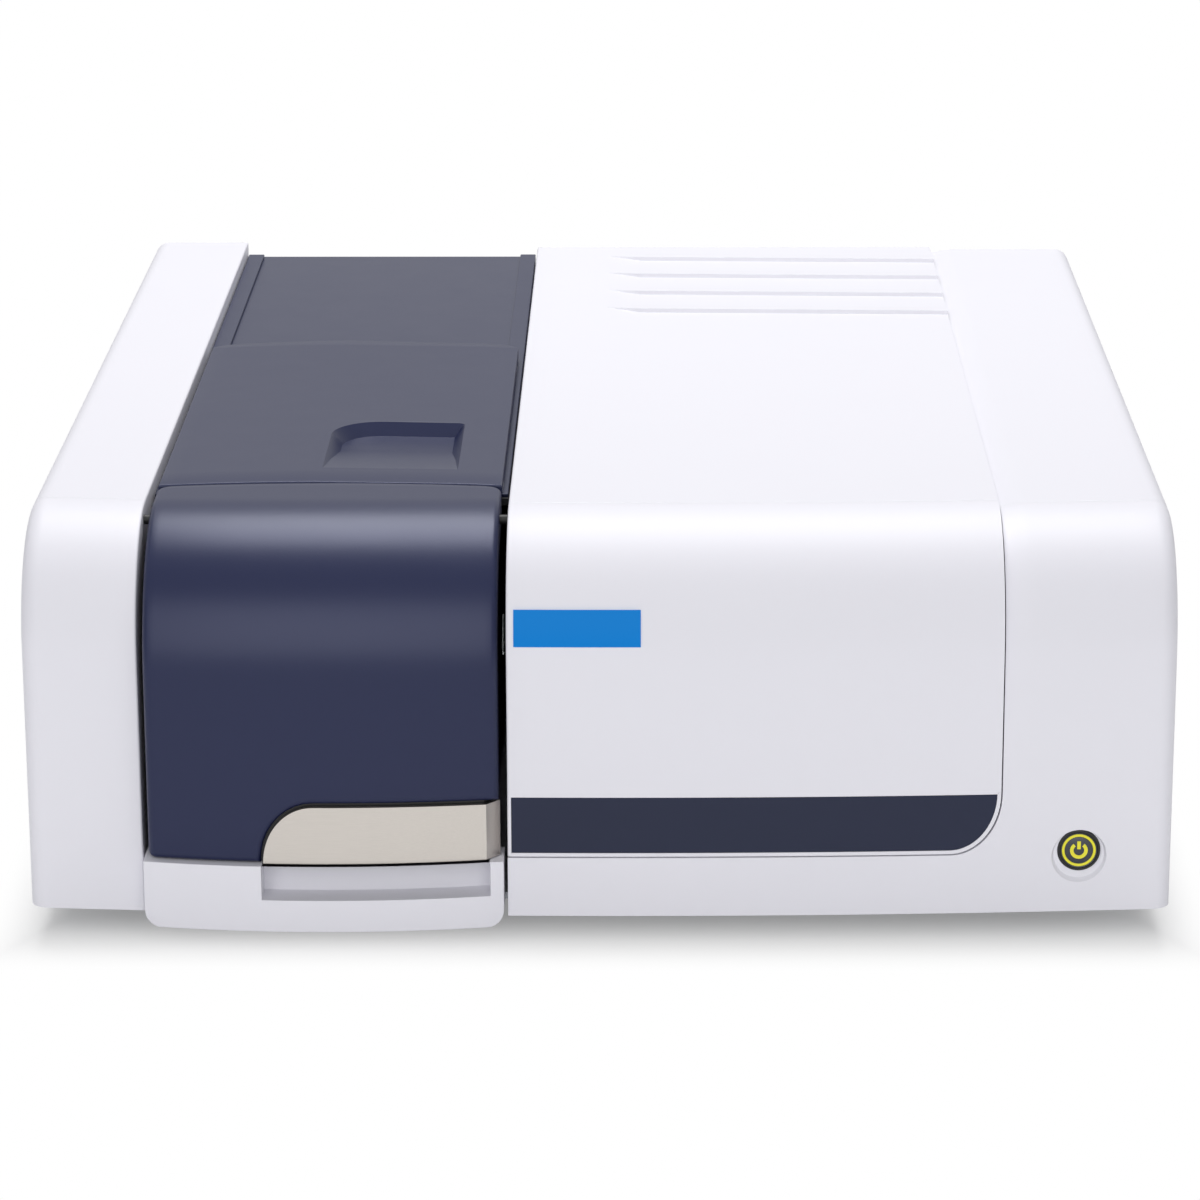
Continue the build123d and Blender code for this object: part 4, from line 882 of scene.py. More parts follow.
    def press_louvres(self, bm: BMesh) -> None:
        """Raise the four rows of louvres: a slanted step, then a long fall to the back."""
        tip = self.louvre_left - self.louvre_tip
        width = self.cover_right - self.louvre_left
        slice_all(bm, Axis.X, [tip, self.louvre_left])
        for y in self.louvres:
            ridge = self.front.run_back(y)
            slice_all(bm, Axis.Y, [ridge - self.louvre_step, ridge, ridge + self.louvre_length])
            for vert in bm.verts:
                x, run = vert.co.x, vert.co.y
                if not ridge - self.louvre_step - SLACK <= run <= ridge + SLACK:
                    continue
                share = clamped((x - tip) / self.louvre_tip)
                if run > ridge - SLACK:
                    vert.co.z += self.louvre_rise * share
                slant = self.louvre_slant * max(x - self.louvre_left, 0) / width
                vert.co.y += self.louvre_sweep * (1 - share) - slant

    def right_housing(self) -> None:
        """Shell of the electronics, with the sill below the cover and the button's dish."""
        back = self.front.run_back(self.right_back)
        sill = self.cover_low - self.seam
        bm = bmesh.new()
        new_face(bm, [(self.cover_left, self.low), (self.right, self.low), (self.right, back),
                      (self.right_left, back), (self.right_left, sill), (self.cover_left, sill)])
        round_corner(bm, (self.right_left, sill), self.corner_run, self.corner_rise, self.corner_facets)
        x, z = self.button
        reach = self.dish_reach
        clear = reach + self.dish_margin
        columns = [place for place in spaced(self.cover_left, self.right, 24) if abs(place - x) >= clear]
        self.grid(bm, columns + [x - reach, x + reach])
        slice_all(bm, Axis.Y, [z - reach, z + reach])
        slice_all(bm, Axis.Y, self.sill_cuts, right_end=self.right_left + 1)
        slice_all(bm, Axis.X, [self.right_left + self.valley * share for share in self.valley_cuts])
        self.press_dish(bm)
        self.crease(bm)
        self.press_valley(bm)
        fold_side(bm, self.right, -1, self.fold, self.outer_round, self.outer_facets)
        self.bend_shell(bm, [self.right], self.right_back, self.low)
        self.publish_shell(bm, "right_shell", "right_housing", self.edge)

    def press_valley(self, bm: BMesh) -> None:
        """Lower the flat skin's upper part, most of all beside the centre cover."""
        for vert in bm.verts:
            if vert.co.x >= self.right_left - SLACK:
                up = blend_step((vert.co.y - self.valley_from) / self.valley_over)
                near = 1 - blend_step((vert.co.x - self.right_left) / self.valley)
                sunk = self.drop * blend_step((vert.co.y - self.drop_from) / self.drop_over)
                vert.co.z -= sunk + self.valley_depth * near * up

    def press_dish(self, bm: BMesh) -> None:
        """Put the button's round hole and its soft dish into a square patch of the flat skin."""
        x, z = self.button
        middle = Vector((x, z, 0))
        patch = min(bm.faces, key=lambda f: (f.calc_center_median() - middle).length)
        bmesh.ops.subdivide_edges(bm, edges=list(patch.edges), cuts=self.dish_cuts)
        if patch.normal.z < 0:
            patch.normal_flip()
        for radius in self.dish_rings + (self.hole,):
            inset(bm, [patch], HAIR)
            loop = list(patch.verts)
            first = max(range(len(loop)), key=lambda i: loop[i].co.x + loop[i].co.y)
            shift = min(self.dish_drop, self.dish_lean * (radius - self.hole))
            depth = self.dish_depth * (1 - blend_step((radius - self.dish_inner) / self.dish_edge))
            for step in range(len(loop)):
                turn = math.pi / 4 + 2 * math.pi * step / len(loop)
                vert = loop[(first + step) % len(loop)]
                vert.co = Vector((x + radius * math.cos(turn), z - shift + radius * math.sin(turn), -depth))
        bmesh.ops.delete(bm, geom=[patch], context="FACES_ONLY")


def close_back(bm: BMesh, back: float, low: float) -> None:
    """Close a shell's back with one flat face.

    Args:
        bm: The bent shell, with both flanks.
        back: The y of its back.
        low: Its lowest z.
    """
    edges = border_at(bm, Axis.Y, back, NEAR)
    ends = [v for v in {v for e in edges for v in e.verts} if abs(v.co.z - low) < NEAR]
    bm.faces.new(walk_chain(min(ends, key=lambda v: v.co.x), edges))


@dataclass
class FrontTrim:
    """Stripe and bare label plate on the cover."""

    left: float = -36.2
    right: float = 164.8
    low: float = 45.9
    top: float = 70.0
    corner_run: float = 19.4
    corner_rise: float = 24.05
    sheet: float = 1.5
    edge: float = 0.25
    label_left: float = -34.8
    label_width: float = 52.2
    label_low: float = 135.3
    label_height: float = 14.8
    label_sheet: float = 0.5
    label_edge: float = 0.12
    front: CaseFront = CaseFront()

    def build(self) -> None:
        """Build both pieces."""
        self.stripe()
        self.label()

    def stripe(self) -> None:
        """Slate band, flush with the cover."""
        bm = bmesh.new()
        new_face(bm, box_corners(self.left, self.low, self.right, self.top))
        round_corner(bm, (self.right, self.low), self.corner_run, self.corner_rise, segments=20)
        slice_all(bm, Axis.X, spaced(self.left, self.right, 18))
        bend(bm, self.front)
        obj = publish(bm, "slate_band", "slate_stripe", Body.INSTRUMENT, ["front_stripe"])
        finish_edges(obj, self.sheet, self.edge)

    def label(self) -> None:
        """Plain blue plate, bent over the start of the roll."""
        left, right = self.label_left, self.label_left + self.label_width
        low = self.front.run_up(self.label_low)
        top = self.front.run_up(self.label_low + self.label_height)
        bm = bmesh.new()
        new_face(bm, box_corners(left, low, right, top))
        slice_all(bm, Axis.X, spaced(left, right, 5))
        slice_all(bm, Axis.Y, spaced(low, top, 10))
        bmesh.ops.translate(bm, vec=(0, 0, self.label_sheet), verts=bm.verts)
        bend(bm, self.front)
        obj = publish(bm, "blue_plate", "label_blue", Body.INSTRUMENT, ["label_plate"])
        finish_edges(obj, self.label_sheet, self.label_edge)


# Sample bay


@dataclass
class Bay:
    """Door, handle and lid of the sample bay."""

    left: float = -187.0
    right: float = -41.5
    low: float = 43.9
    seam: float = -195.0
    face_cuts: tuple[float, ...] = (60.0, 80.0, 100.0)
    roll_lead: float = 6.0
    roll_facets: int = 32
    top_cuts: tuple[float, ...] = (14.0, 20.0)
    door_wall: float = 2.5
    door_edge: float = 0.3
    door_fold: float = 15.0
    door_round: float = 2.4
    rear_corner: float = 7.0
    low_corner: float = 3.0
    gap: float = 1.2
    handle_left: float = -138.8
    handle_rise: float = 24.6
    handle_run: float = 20.8
    handle_proud: float = 0.5
    handle_sheet: float = 2.0
    handle_edge: float = 0.25
    handle_bevel: float = 5.5
    handle_columns: int = 16
    seat_overlap: float = 2.0
    seat_inset: float = 0.4
    seat_gap: float = 0.6
    seat_wall: float = 2.0
    lid_front: float = -194.0
    lid_back: float = 60.0
    lid_low: float = 177.8
    lid_bow: float = 550.0
    lid_corner: float = 10.0
    lid_margin: float = 1.0
    lid_fold: float = 4.0
    lid_round: float = 0.8
    lid_wall: float = 0.7
    lid_edge: float = 0.25
    lid_cuts: tuple[float, ...] = (-60.0, 0.0)
    recess: tuple[float, float, float, float] = (-119.0, -172.0, -61.0, -94.0)
    recess_margin: float = 3.0
    recess_depth: float = 5.4
    recess_round: float = 22.0
    recess_corner: float = 3.0
    recess_lip: float = 0.4
    recess_near: float = 0.5
    recess_least: float = 0.05
    recess_ramp: float = 47.0
    recess_slope: float = 40.0
    front: BayFront = BayFront()

    def build(self) -> None:
        """Build the three pieces and the handle's seat."""
        self.door()
        self.handle()
        self.lid()

    def grid(self, bm: BMesh) -> None:
        """Cut a flat skin finely enough to bend over the roll, the bow and the crown."""
        front = self.front
        slice_all(bm, Axis.X, spaced(self.left, self.right, 28))
        slice_all(bm, Axis.Y, list(self.face_cuts)
                  + spaced(front.roll_start - self.roll_lead, front.top_start + self.roll_lead,
                           self.roll_facets)
                  + [front.top_start + back for back in self.top_cuts])

    def door(self) -> None:
        """Front door: rounded edges, flanges inside its sides and the cut for the handle."""
        back = self.front.run_back(self.seam)
        cut_x = self.handle_left - self.gap
        cut_top = self.low + self.handle_rise + self.gap
        bm = bmesh.new()
        new_face(bm, [(self.left, self.low), (cut_x, self.low), (cut_x, cut_top), (self.right, cut_top),
                      (self.right, back), (self.left, back)])
        round_corner(bm, (cut_x, cut_top), self.handle_run + self.gap,
                     self.handle_rise + self.gap - SLIVER, segments=9)
        bmesh.ops.remove_doubles(bm, verts=bm.verts, dist=NEAR)
        round_corner(bm, (self.left, self.low), self.low_corner, self.low_corner, segments=6)
        for x in (self.left, self.right):
            round_corner(bm, (x, back), self.rear_corner, self.rear_corner, segments=8)
        fold_outline(bm, self.door_fold, self.door_round)
        self.grid(bm)
        bend(bm, self.front)
        bmesh.ops.recalc_face_normals(bm, faces=bm.faces)
        obj = publish(bm, "door_skin", "slate_panel", Body.DOOR, ["front_door"])
        finish_edges(obj, self.door_wall, self.door_edge)
        self.backing(cut_x - self.seat_overlap, cut_top + self.seat_overlap)

    def backing(self, left: float, top: float) -> None:
        """Wall of the door behind the handle, coloured black as painted shade for the shadow in the gap round
        the handle.
        """
        bm = bmesh.new()
        new_face(bm, box_corners(left, self.low + self.seat_inset, self.right, top))
        slice_all(bm, Axis.X, spaced(left, self.right, self.handle_columns))
        bmesh.ops.translate(bm, vec=(0, 0, -self.handle_sheet - self.seat_gap), verts=bm.verts)
        self.fold_end(bm, self.right - self.seat_inset)
        bend(bm, self.front)
        # Black plastic here is painted shade: it darkens the gap round the handle where its shadow falls.
        obj = publish(bm, "handle_seat_painted_shade", "black_plastic", Body.DOOR)
        finish_edges(obj, self.seat_wall, self.door_edge)

    def fold_end(self, bm: BMesh, end: float) -> None:
        """Turn the right end of a flat sheet back at 45 degrees."""
        start = end - self.handle_bevel
        slice_all(bm, Axis.X, [start])
        for vert in bm.verts:
            if vert.co.x > start:
                vert.co.z -= vert.co.x - start

    def handle(self) -> None:
        """Bent sheet of brushed steel let into the door's lower right corner."""
        right = self.right + self.handle_proud
        top = self.low + self.handle_rise
        bm = bmesh.new()
        new_face(bm, box_corners(self.handle_left, self.low, right, top))
        round_corner(bm, (self.handle_left, top), self.handle_run, self.handle_rise - SLIVER, segments=28)
        slice_all(bm, Axis.X, spaced(self.handle_left, right, self.handle_columns))
        bmesh.ops.translate(bm, vec=(0, 0, self.handle_proud), verts=bm.verts)
        self.fold_end(bm, right)
        bend(bm, self.front)
        obj = publish(bm, "steel_handle", "brushed_handle", Body.DOOR, ["door_handle"], sharp=25.0)
        finish_edges(obj, self.handle_sheet, self.handle_edge, angle=50.0)

    def lid(self) -> None:
        """Sliding lid: crowned skin, bowed back, skirts and the finger recess."""
        front = self.front
        start, end = front.run_back(self.lid_front), front.run_back(self.lid_back)
        half = (self.right - self.left) / 2
        sag = fall(self.lid_bow, half)
        bm = bmesh.new()
        new_face(bm, box_corners(self.left, start, self.right, end))
        for x in (self.left, self.right):
            round_corner(bm, (x, end), self.lid_corner, self.lid_corner, segments=8)
        fold_outline(bm, self.lid_fold, self.lid_round, segments=3)
        self.recess_grid(bm)
        rear = end - self.lid_corner - self.lid_margin
        for vert in bm.verts:
            if vert.co.y > rear:
                off = (vert.co.x - front.centre) / half
                vert.co.y -= sag * off * off * (vert.co.y - rear) / (end - rear)
        self.press_recess(bm)
        low = [v for v in bm.verts if v.co.z < SLIVER - self.lid_fold and v.is_boundary]
        bend(bm, front)
        for vert in low:
            vert.co.z = self.lid_low
        bmesh.ops.recalc_face_normals(bm, faces=bm.faces)
        obj = publish(bm, "lid_skin", "slate_panel", Body.LID, ["sliding_lid"])
        finish_edges(obj, self.lid_wall, self.lid_edge)

    def recess_grid(self, bm: BMesh) -> None:
        """Cut the lid across and along, and once at each side of the finger recess."""
        left, near, right, far = self.recess
        margin = self.recess_margin
        left, right = left - margin, right + margin
        slice_all(bm, Axis.X, [x for x in spaced(self.left, self.right, 20) if not left < x < right]
                  + [left, right])
        rear = self.lid_back - self.lid_corner - self.lid_margin
        slice_all(bm, Axis.Y, [self.front.run_back(y) for y in
                               (near - margin, far + margin) + self.lid_cuts + (rear,)])

    def press_recess(self, bm: BMesh) -> None:
        """Cut the recess's mouth into the flat lid and lower its walls and ramped floor."""
        left, near, right, far = self.recess
        near, far = self.front.run_back(near), self.front.run_back(far)
        middle = Vector(((left + right) / 2, (near + far) / 2, 0))
        patch = min(bm.faces, key=lambda f: (f.calc_center_median() - middle).length)
        frame = list(patch.edges)
        bmesh.ops.delete(bm, geom=[patch], context="FACES_ONLY")
        mouth = bmesh.new()
        new_face(mouth, box_corners(left, near, right, far))
        round_corner(mouth, (left, far), self.recess_round, self.recess_round, segments=18)
        round_corner(mouth, (right, far), self.recess_corner, self.recess_corner, segments=5)
        lip, ramp = self.recess_lip, self.recess_ramp
        wall = self.recess_depth * math.tan(math.radians(self.recess_slope))
        slice_all(mouth, Axis.Y, [near + lip, near + ramp / 2, near + ramp])
        region = list(mouth.faces)
        inset(mouth, region, wall)
        for vert in {v for f in region if f.is_valid for v in f.verts}:
            share = clamped((vert.co.y - near - wall) / (ramp - wall))
            vert.co.z = -self.recess_depth * share
            if vert.co.y < near + wall + self.recess_near:
                vert.co.y = near + lip
            for side, edge in ((left, left + wall), (right, right - wall)):
                if abs(vert.co.x - edge) < 2 * SLACK:
                    vert.co.x = side + (edge - side) * max(share, self.recess_least)
        merge_into(bm, mouth, frame)


@dataclass
class Bumper:
    """White foot of the bay with the finger pocket below the handle."""

    left: float = -189.0
    right: float = -39.5
    low: float = 14.6
    top: float = 43.3
    back: float = -258.3
    face_y: float = -283.5
    centre: float = -114.25
    bow: float = 402.5
    columns: int = 24
    low_cuts: tuple[float, ...] = (0.3, 1.0, 2.0, 3.4, 5.0, 7.0)
    low_round: float = 7.0
    side_reach: float = 12.0
    rear_from: float = 24.0
    edge: float = 2.2
    pocket_left: float = -139.6
    pocket_right: float = -45.0
    pocket_low: float = 28.5
    pocket_depth: float = 13.0
    pocket_cuts: tuple[float, float, float] = (2.0, 3.0, 2.0)

    def build(self) -> None:
        """Cut the flat face, push the pocket in, fold the sides back and bow it all."""
        from_left, from_right, from_low = self.pocket_cuts
        bm = bmesh.new()
        new_face(bm, box_corners(self.left, self.low, self.right, self.top))
        slice_all(bm, Axis.X, spaced(self.left, self.right, self.columns)
                  + [self.pocket_left, self.pocket_left + from_left, self.pocket_right - from_right,
                     self.pocket_right])
        slice_all(bm, Axis.Y, [self.pocket_low, self.pocket_low + from_low]
                  + [self.low + step for step in self.low_cuts])
        self.push_pocket(bm)
        made = bmesh.ops.extrude_edge_only(bm, edges=[e for e in bm.edges if e.is_boundary])["geom"]
        for vert in verts_of(made):
            vert.co.z = self.face_y - self.back
        self.round_edges(bm)
        for vert in bm.verts:
            vert.co = self.bowed(vert.co)
        bmesh.ops.recalc_face_normals(bm, faces=bm.faces)
        publish(bm, "bay_foot", "white_shell", Body.INSTRUMENT, ["front_bumper"], sharp=50.0)

    def push_pocket(self, bm: BMesh) -> None:
        """Push the pocket's floor into the flat face."""
        floor = [f for f in bm.faces if self.pocket_left < f.calc_center_median().x < self.pocket_right
                 and f.calc_center_median().y > self.pocket_low]
        made = bmesh.ops.extrude_face_region(bm, geom=floor)["geom"]
        bmesh.ops.delete(bm, geom=[f for f in floor if f.is_valid], context="FACES")
        bmesh.ops.translate(bm, vec=(0, 0, -self.pocket_depth), verts=verts_of(made))

    def round_edges(self, bm: BMesh) -> None:
        """Round every edge between two faces that meet steeply."""
        bm.normal_update()
        steep = [e for e in bm.edges if not e.is_boundary and e.calc_face_angle(0) > 1.0]
        steep.sort(key=lambda e: any(abs(v.co.y - self.low) >= SLIVER for v in e.verts))
        bmesh.ops.bevel(bm, geom=steep, offset=self.edge, offset_type="OFFSET", segments=4, profile=0.5,
                        affect="EDGES", material=-1, clamp_overlap=True)

    def bowed(self, flat: Vector) -> Vector:
        """Place of a flat mesh's point on the bowed foot, tucked in towards its lower corners."""
        x, z, depth = flat.x, flat.y, -flat.z
        tuck = fall(self.low_round, max(0.0, self.low_round - (z - self.low)))
        for side, sign in ((self.left, 1), (self.right, -1)):
            x += sign * tuck * max(0.0, 1 - abs(x - side) / self.side_reach)
        face = self.face_y + fall(self.bow, x - self.centre)
        return Vector((x, self.back if depth > self.rear_from else face + depth, z))


def merge_into(bm: BMesh, part: BMesh, frame: Sequence[BMEdge]) -> None:
    """Add a flat part to a mesh and fill the flat ring between its border and a frame.

    Args:
        bm: Mesh that takes the part.
        part: The part; it is freed.
        frame: Border edges in bm that surround the part.
    """
    before = set(bm.edges)
    mesh = bpy.data.meshes.new("part")
    part.to_mesh(mesh)
    part.free()
    bm.from_mesh(mesh)
    bpy.data.meshes.remove(mesh)
    border = [e for e in bm.edges if e not in before and e.is_boundary]
    around = [e for e in frame if e.is_valid]
    bmesh.ops.triangle_fill(bm, use_beauty=True, use_dissolve=False, edges=border + around)


# Carried-over CAD pieces


# CAD pieces that show and the radius of their edges, in millimetres.
SOFTENED = {
    "rear_deck": 0.5, "slide_rails": 0.4, "rear_panel": 0.3, "mains_inlet": 0.4, "switch_frame": 0.4,
    "mains_rocker": 0.3, "usb_socket": 0.2, "fan_frame": 0.5, "fan_guard": 0.2, "base_tray": 0.4,
    "feet": 0.8, "case_screws": 0.15, "compartment_tub": 0.5, "sample_base": 0.4, "cell_holder": 0.4,
    "door_pivots": 0.3, "lid_glides": 0.3,
}


def soften(node: Object, slot: str, body: Body, edge: float) -> Object:
    """Stand a merged copy of a CAD piece in its place, with rounded edges.

    Args:
        node: The CAD piece.
        slot: Its material slot.
        body: Body that carries it.
        edge: Radius of the edges, in millimetres.

    Returns:
        The new piece.
    """
    bm = bmesh.new()
    bm.from_mesh(node.data)
    bmesh.ops.remove_doubles(bm, verts=bm.verts, dist=1e-6)
    bmesh.ops.dissolve_limit(bm, angle_limit=math.radians(FLAT), verts=bm.verts, edges=bm.edges)
    bmesh.ops.scale(bm, vec=(1 / MM, 1 / MM, 1 / MM), verts=bm.verts)
    obj = publish(bm, node.name + "_soft", slot, body, [node.name])
    return finish_edges(obj, 0.0, edge)


@dataclass
class Carried:
    """Finishes of the CAD pieces, and rounded copies of those that show."""

    softened: dict[str, float]

    def build(self, frame: dict[str, object]) -> None:
        """Dress each CAD piece and stand rounded copies for the visible ones."""
        bodies = frame["record"]["behaviour"]["bodies"]
        carriers = {node: name for name, nodes in bodies.items() for node in nodes}
        slots = {part["node"]: part["material_slot"] for part in frame["record"]["subparts"]}
        for name, node in frame["nodes"].items():
            node.data.materials.clear()
            node.data.materials.append(bpy.data.materials[FINISHES[slots[name]].name])
            if name in self.softened:
                soften(node, slots[name], Body(carriers[name]), self.softened[name])
        LOG.info("dressed %d CAD pieces", len(frame["nodes"]))


# Power button


@dataclass
class PowerButton:
    """Bezel, sprung cap, lit ring and lit mark."""

    place: tuple[float, float] = BUTTON
    front: float = -265.76
    bezel: float = 8.95
    cap: float = 7.7
    bore: float = 7.8
    ring_outer: float = 7.05
    ring_inner: float = 5.95
    ring_play: float = 0.05
    rim_depth: float = 0.22
    length: float = 13.0
    cap_length: float = 10.0
    sheet: float = 0.6
    edge: float = 0.08
    mark: float = 3.7
    mark_gap: float = 38.0
    mark_steps: int = 40
    mark_set: float = 0.1
    mark_sheet: float = 0.5
    mark_edge: float = 0.06
    stroke: float = 1.5
    bar: tuple[float, float] = (0.5, 4.0)

    def turned(self, name: str, slot: str, body: Body, points: Sequence[tuple[float, float]],
               node: str) -> None:
        """Publish a round piece, given by radii and depths behind the button's front."""
        x, z = self.place
        bm = lathe(points, Vector((x, self.front, z)), Axis.Y)
        finish_edges(publish(bm, name, slot, body, [node], sharp=50.0), 0.0, self.edge)

    def build(self) -> None:
        """Build the four pieces."""
        bezel, bore, cap = self.bezel, self.bore, self.cap
        inner, outer = self.ring_inner, self.ring_outer
        groove_in, groove_out = inner - self.ring_play, outer + self.ring_play
        rim = self.rim_depth
        low = rim + self.sheet
        self.turned("button_bezel_ring", "black_plastic", Body.INSTRUMENT, [
            (bore, 0.7), (bore, 0.3), (cap + 0.3, 0.06), (bezel - 0.5, 0.0), (bezel - 0.15, 0.15),
            (bezel, 0.5), (bezel, self.length), (bore, self.length), (bore, 0.7)], "button_bezel")
        self.turned("button_cap", "button_face", Body.BUTTON, [
            (0.0, 0.25), (inner - 0.3, rim), (groove_in, 0.35), (groove_in, low), (groove_out, low),
            (groove_out, 0.4), (cap - 0.15, rim), (cap, 0.4), (cap, self.cap_length),
            (0.0, self.cap_length)], "power_button")
        self.turned("button_light_ring", "yellow_light", Body.BUTTON, [
            (inner, low), (inner, 0.3), (inner + 0.2, 0.18), (outer - 0.2, 0.18), (outer, 0.3),
            (outer, low), (inner, low)], "light_ring")
        self.power_mark()

    def power_mark(self) -> None:
        """Open ring with a bar through its gap, as a raised sheet."""
        bm = bmesh.new()
        middle = (0, 0, 0)
        section = [bm.verts.new((0, radius, 0)) for radius in (self.mark - self.stroke, self.mark)]
        edge = bm.edges.new(section)
        start, end = math.radians(self.mark_gap), math.radians(360 - self.mark_gap)
        bmesh.ops.rotate(bm, verts=section, cent=middle, matrix=Matrix.Rotation(start, 3, "Z"))
        bmesh.ops.spin(bm, geom=section + [edge], cent=middle, axis=(0, 0, 1), angle=end - start,
                       steps=self.mark_steps)
        half = self.stroke / 2
        new_face(bm, box_corners(-half, self.bar[0], half, self.bar[1]))
        bmesh.ops.recalc_face_normals(bm, faces=bm.faces)
        bmesh.ops.rotate(bm, verts=bm.verts, cent=middle, matrix=Matrix.Rotation(math.pi / 2, 3, "X"))
        x, z = self.place
        bmesh.ops.translate(bm, vec=(x, self.front + self.mark_set, z), verts=bm.verts)
        for face in bm.faces:
            if face.normal.y > 0:
                face.normal_flip()
        obj = publish(bm, "button_mark", "yellow_light", Body.BUTTON, ["power_mark"])
        finish_edges(obj, self.mark_sheet, self.mark_edge)


# Studio


def mix_for_camera(tree: NodeTree, share: NodeSocket, operation: str,
                   plain: NodeSocket, seen: NodeSocket) -> NodeSocket:
    """Mix two shaders by whether the camera sees them.

    Args:
        tree: Node tree that takes the mix.
        share: Value joined with the camera's ray, which is 1 where the camera looks.
        operation: How the two are joined.
        plain: Shader for a joined value of 0.
        seen: Shader for a joined value of 1.

    Returns:
        The mixed shader.
    """
    path = add_node(tree, "ShaderNodeLightPath")
    joined = add_node(tree, "ShaderNodeMath", {0: path.outputs["Is Camera Ray"], 1: share},
                      operation=operation)
    mixed = add_node(tree, "ShaderNodeMixShader", {0: joined.outputs["Value"], 1: plain, 2: seen})
    return mixed.outputs["Shader"]


@dataclass(frozen=True)
class SoftBox:
    """Soft lamp in metres: its centre, the point it faces, its width and height.

    A radiance of 1 renders white.
    """

    name: str
    place: tuple[float, float, float]
    target: tuple[float, float, float]
    size: tuple[float, float]
    radiance: float

    def build(self) -> None:
        """Add the lamp."""
        data = bpy.data.lights.new(self.name, "AREA")
        data.shape = "RECTANGLE"
        data.size, data.size_y = self.size
        data.energy = self.radiance * math.pi * self.size[0] * self.size[1]
        obj = bpy.data.objects.new(self.name, data)
        bpy.context.scene.collection.objects.link(obj)
        aim = (Vector(self.target) - Vector(self.place)).to_track_quat("-Z", "Y")
        obj.matrix_world = Matrix.Translation(self.place) @ aim.to_matrix().to_4x4()


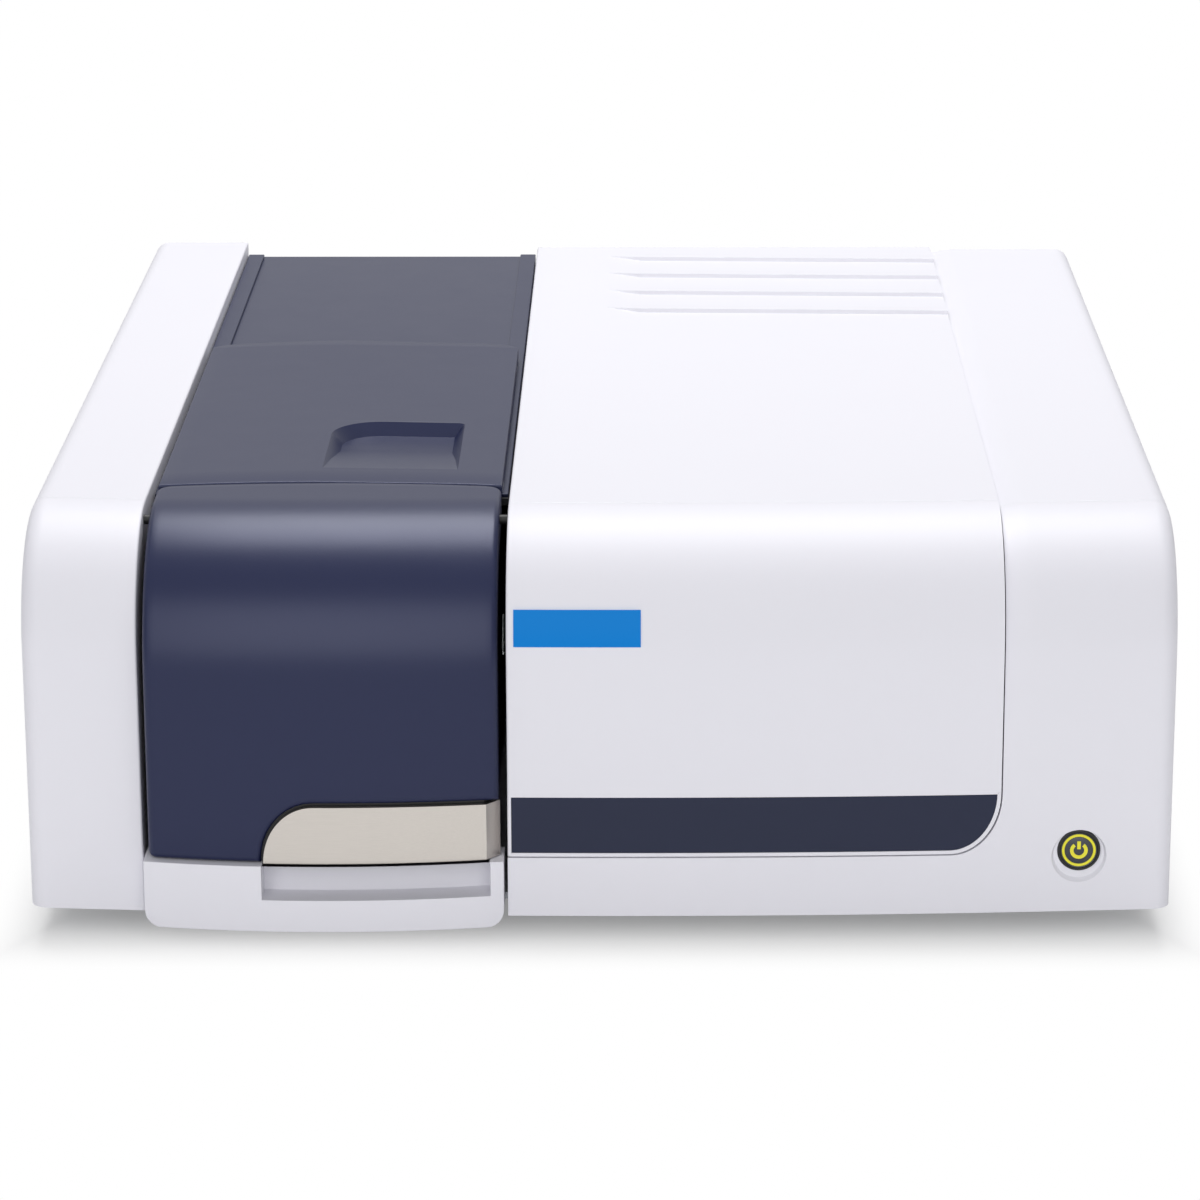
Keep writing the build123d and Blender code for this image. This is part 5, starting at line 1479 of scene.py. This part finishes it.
@dataclass
class Studio:
    """Pale floor, soft lights and the camera."""

    eye: tuple[float, float, float] = (22.2, -2024.7, 688.8)
    pitch: float = 16.93
    yaw: float = -0.701
    roll: float = -0.188
    lens: float = 134.78
    film: float = 36.0
    sky: float = 0.26
    sky_colour: tuple[float, float, float, float] = (0.97, 0.98, 1.0, 1.0)
    floor_colour: str = "#F9F9F9"
    floor_size: float = 8.0
    shadow_fill: float = 0.22
    shadow_reach: tuple[tuple[str, float, float], ...] = (("X", 0.225, 0.262), ("Y", 0.222, 0.292))
    reflected: float = 0.7
    lamps: tuple[SoftBox, ...] = (
        SoftBox("overhead", (0.0, 0.5, 1.9), (0.0, 0.0, 0.1), (1.4, 1.2), 6.0),
        SoftBox("front_fill", (-0.2, -3.1, 1.3), (0.0, -0.2, 0.1), (3.6, 2.4), 1.8),
    )

    def camera(self) -> None:
        """Camera at the photograph's viewing angle."""
        pitch, yaw, roll = (math.radians(a) for a in (self.pitch, self.yaw, self.roll))
        ahead = Vector((math.sin(yaw) * math.cos(pitch), math.cos(yaw) * math.cos(pitch), -math.sin(pitch)))
        right = Vector((math.cos(yaw), -math.sin(yaw), 0))
        up = right.cross(ahead)
        across = math.cos(roll) * right + math.sin(roll) * up
        above = math.cos(roll) * up - math.sin(roll) * right
        data = bpy.data.cameras.new("camera")
        data.lens = self.lens
        data.sensor_width = self.film
        obj = bpy.data.objects.new("camera", data)
        bpy.context.scene.collection.objects.link(obj)
        turn = Matrix((across, above, -ahead)).transposed().to_4x4()
        obj.matrix_world = Matrix.Translation(Vector(self.eye) * MM) @ turn
        bpy.context.scene.camera = obj

    def floor(self) -> None:
        """Pale floor: it takes the object's shadow near by and turns plain white further off."""
        bm = bmesh.new()
        bmesh.ops.create_grid(bm, x_segments=1, y_segments=1, size=self.floor_size)
        mesh = bpy.data.meshes.new("floor")
        bm.to_mesh(mesh)
        bm.free()
        obj = bpy.data.objects.new("floor", mesh)
        bpy.context.scene.collection.objects.link(obj)
        material = bpy.data.materials.new("PaleFloor")
        material.use_nodes = True
        tree = material.node_tree
        tree.nodes.clear()
        matt = add_node(tree, "ShaderNodeBsdfDiffuse", values={"Color": linear(self.floor_colour)})
        white = add_node(tree, "ShaderNodeEmission", values={"Strength": 1.0})
        place = add_node(tree, "ShaderNodeTexCoord").outputs["Object"]
        sides = add_node(tree, "ShaderNodeVectorMath", {0: place}, operation="ABSOLUTE")
        across = add_node(tree, "ShaderNodeSeparateXYZ", {0: sides.outputs["Vector"]})
        fades = [add_node(tree, "ShaderNodeMapRange", {"Value": across.outputs[axis]},
                          {"From Min": start, "From Max": end, "To Min": self.shadow_fill},
                          interpolation_type="SMOOTHSTEP") for axis, start, end in self.shadow_reach]
        far = add_node(tree, "ShaderNodeMath", {i: fade.outputs["Result"] for i, fade in enumerate(fades)},
                       operation="MAXIMUM")
        both = mix_for_camera(tree, far.outputs["Value"], "MULTIPLY", matt.outputs["BSDF"],
                              white.outputs["Emission"])
        add_node(tree, "ShaderNodeOutputMaterial", {"Surface": both})
        mesh.materials.append(material)

    def sky_light(self) -> None:
        """Even light from all round, seen as white by the camera and partly so by reflections."""
        world = bpy.data.worlds.new("studio")
        bpy.context.scene.world = world
        world.use_nodes = True
        tree = world.node_tree
        tree.nodes.clear()
        soft = add_node(tree, "ShaderNodeBackground", values={"Color": self.sky_colour, "Strength": self.sky})
        white = add_node(tree, "ShaderNodeBackground", values={"Strength": 1.0})
        path = add_node(tree, "ShaderNodeLightPath")
        dimmed = add_node(tree, "ShaderNodeMath", {0: path.outputs["Is Glossy Ray"]}, {1: self.reflected},
                          operation="MULTIPLY")
        both = mix_for_camera(tree, dimmed.outputs["Value"], "MAXIMUM", soft.outputs["Background"],
                              white.outputs["Background"])
        add_node(tree, "ShaderNodeOutputWorld", {"Surface": both})

    def build(self) -> None:
        """Set up floor, lights, camera and the plain view transform."""
        self.floor()
        self.sky_light()
        for lamp in self.lamps:
            lamp.build()
        self.camera()
        bpy.context.scene.view_settings.view_transform = "Standard"


def main() -> None:
    """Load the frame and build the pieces."""
    logging.basicConfig(level=logging.INFO, format="%(message)s")
    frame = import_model()
    for slot, finish in FINISHES.items():
        finish.build()
        LOG.info("finish %s: %s", slot, finish.name)
    Housings().build()
    FrontTrim().build()
    Bay().build()
    Bumper().build()
    PowerButton().build()
    Carried(SOFTENED).build(frame)
    Studio().build()


if __name__ == "__main__":
    main()
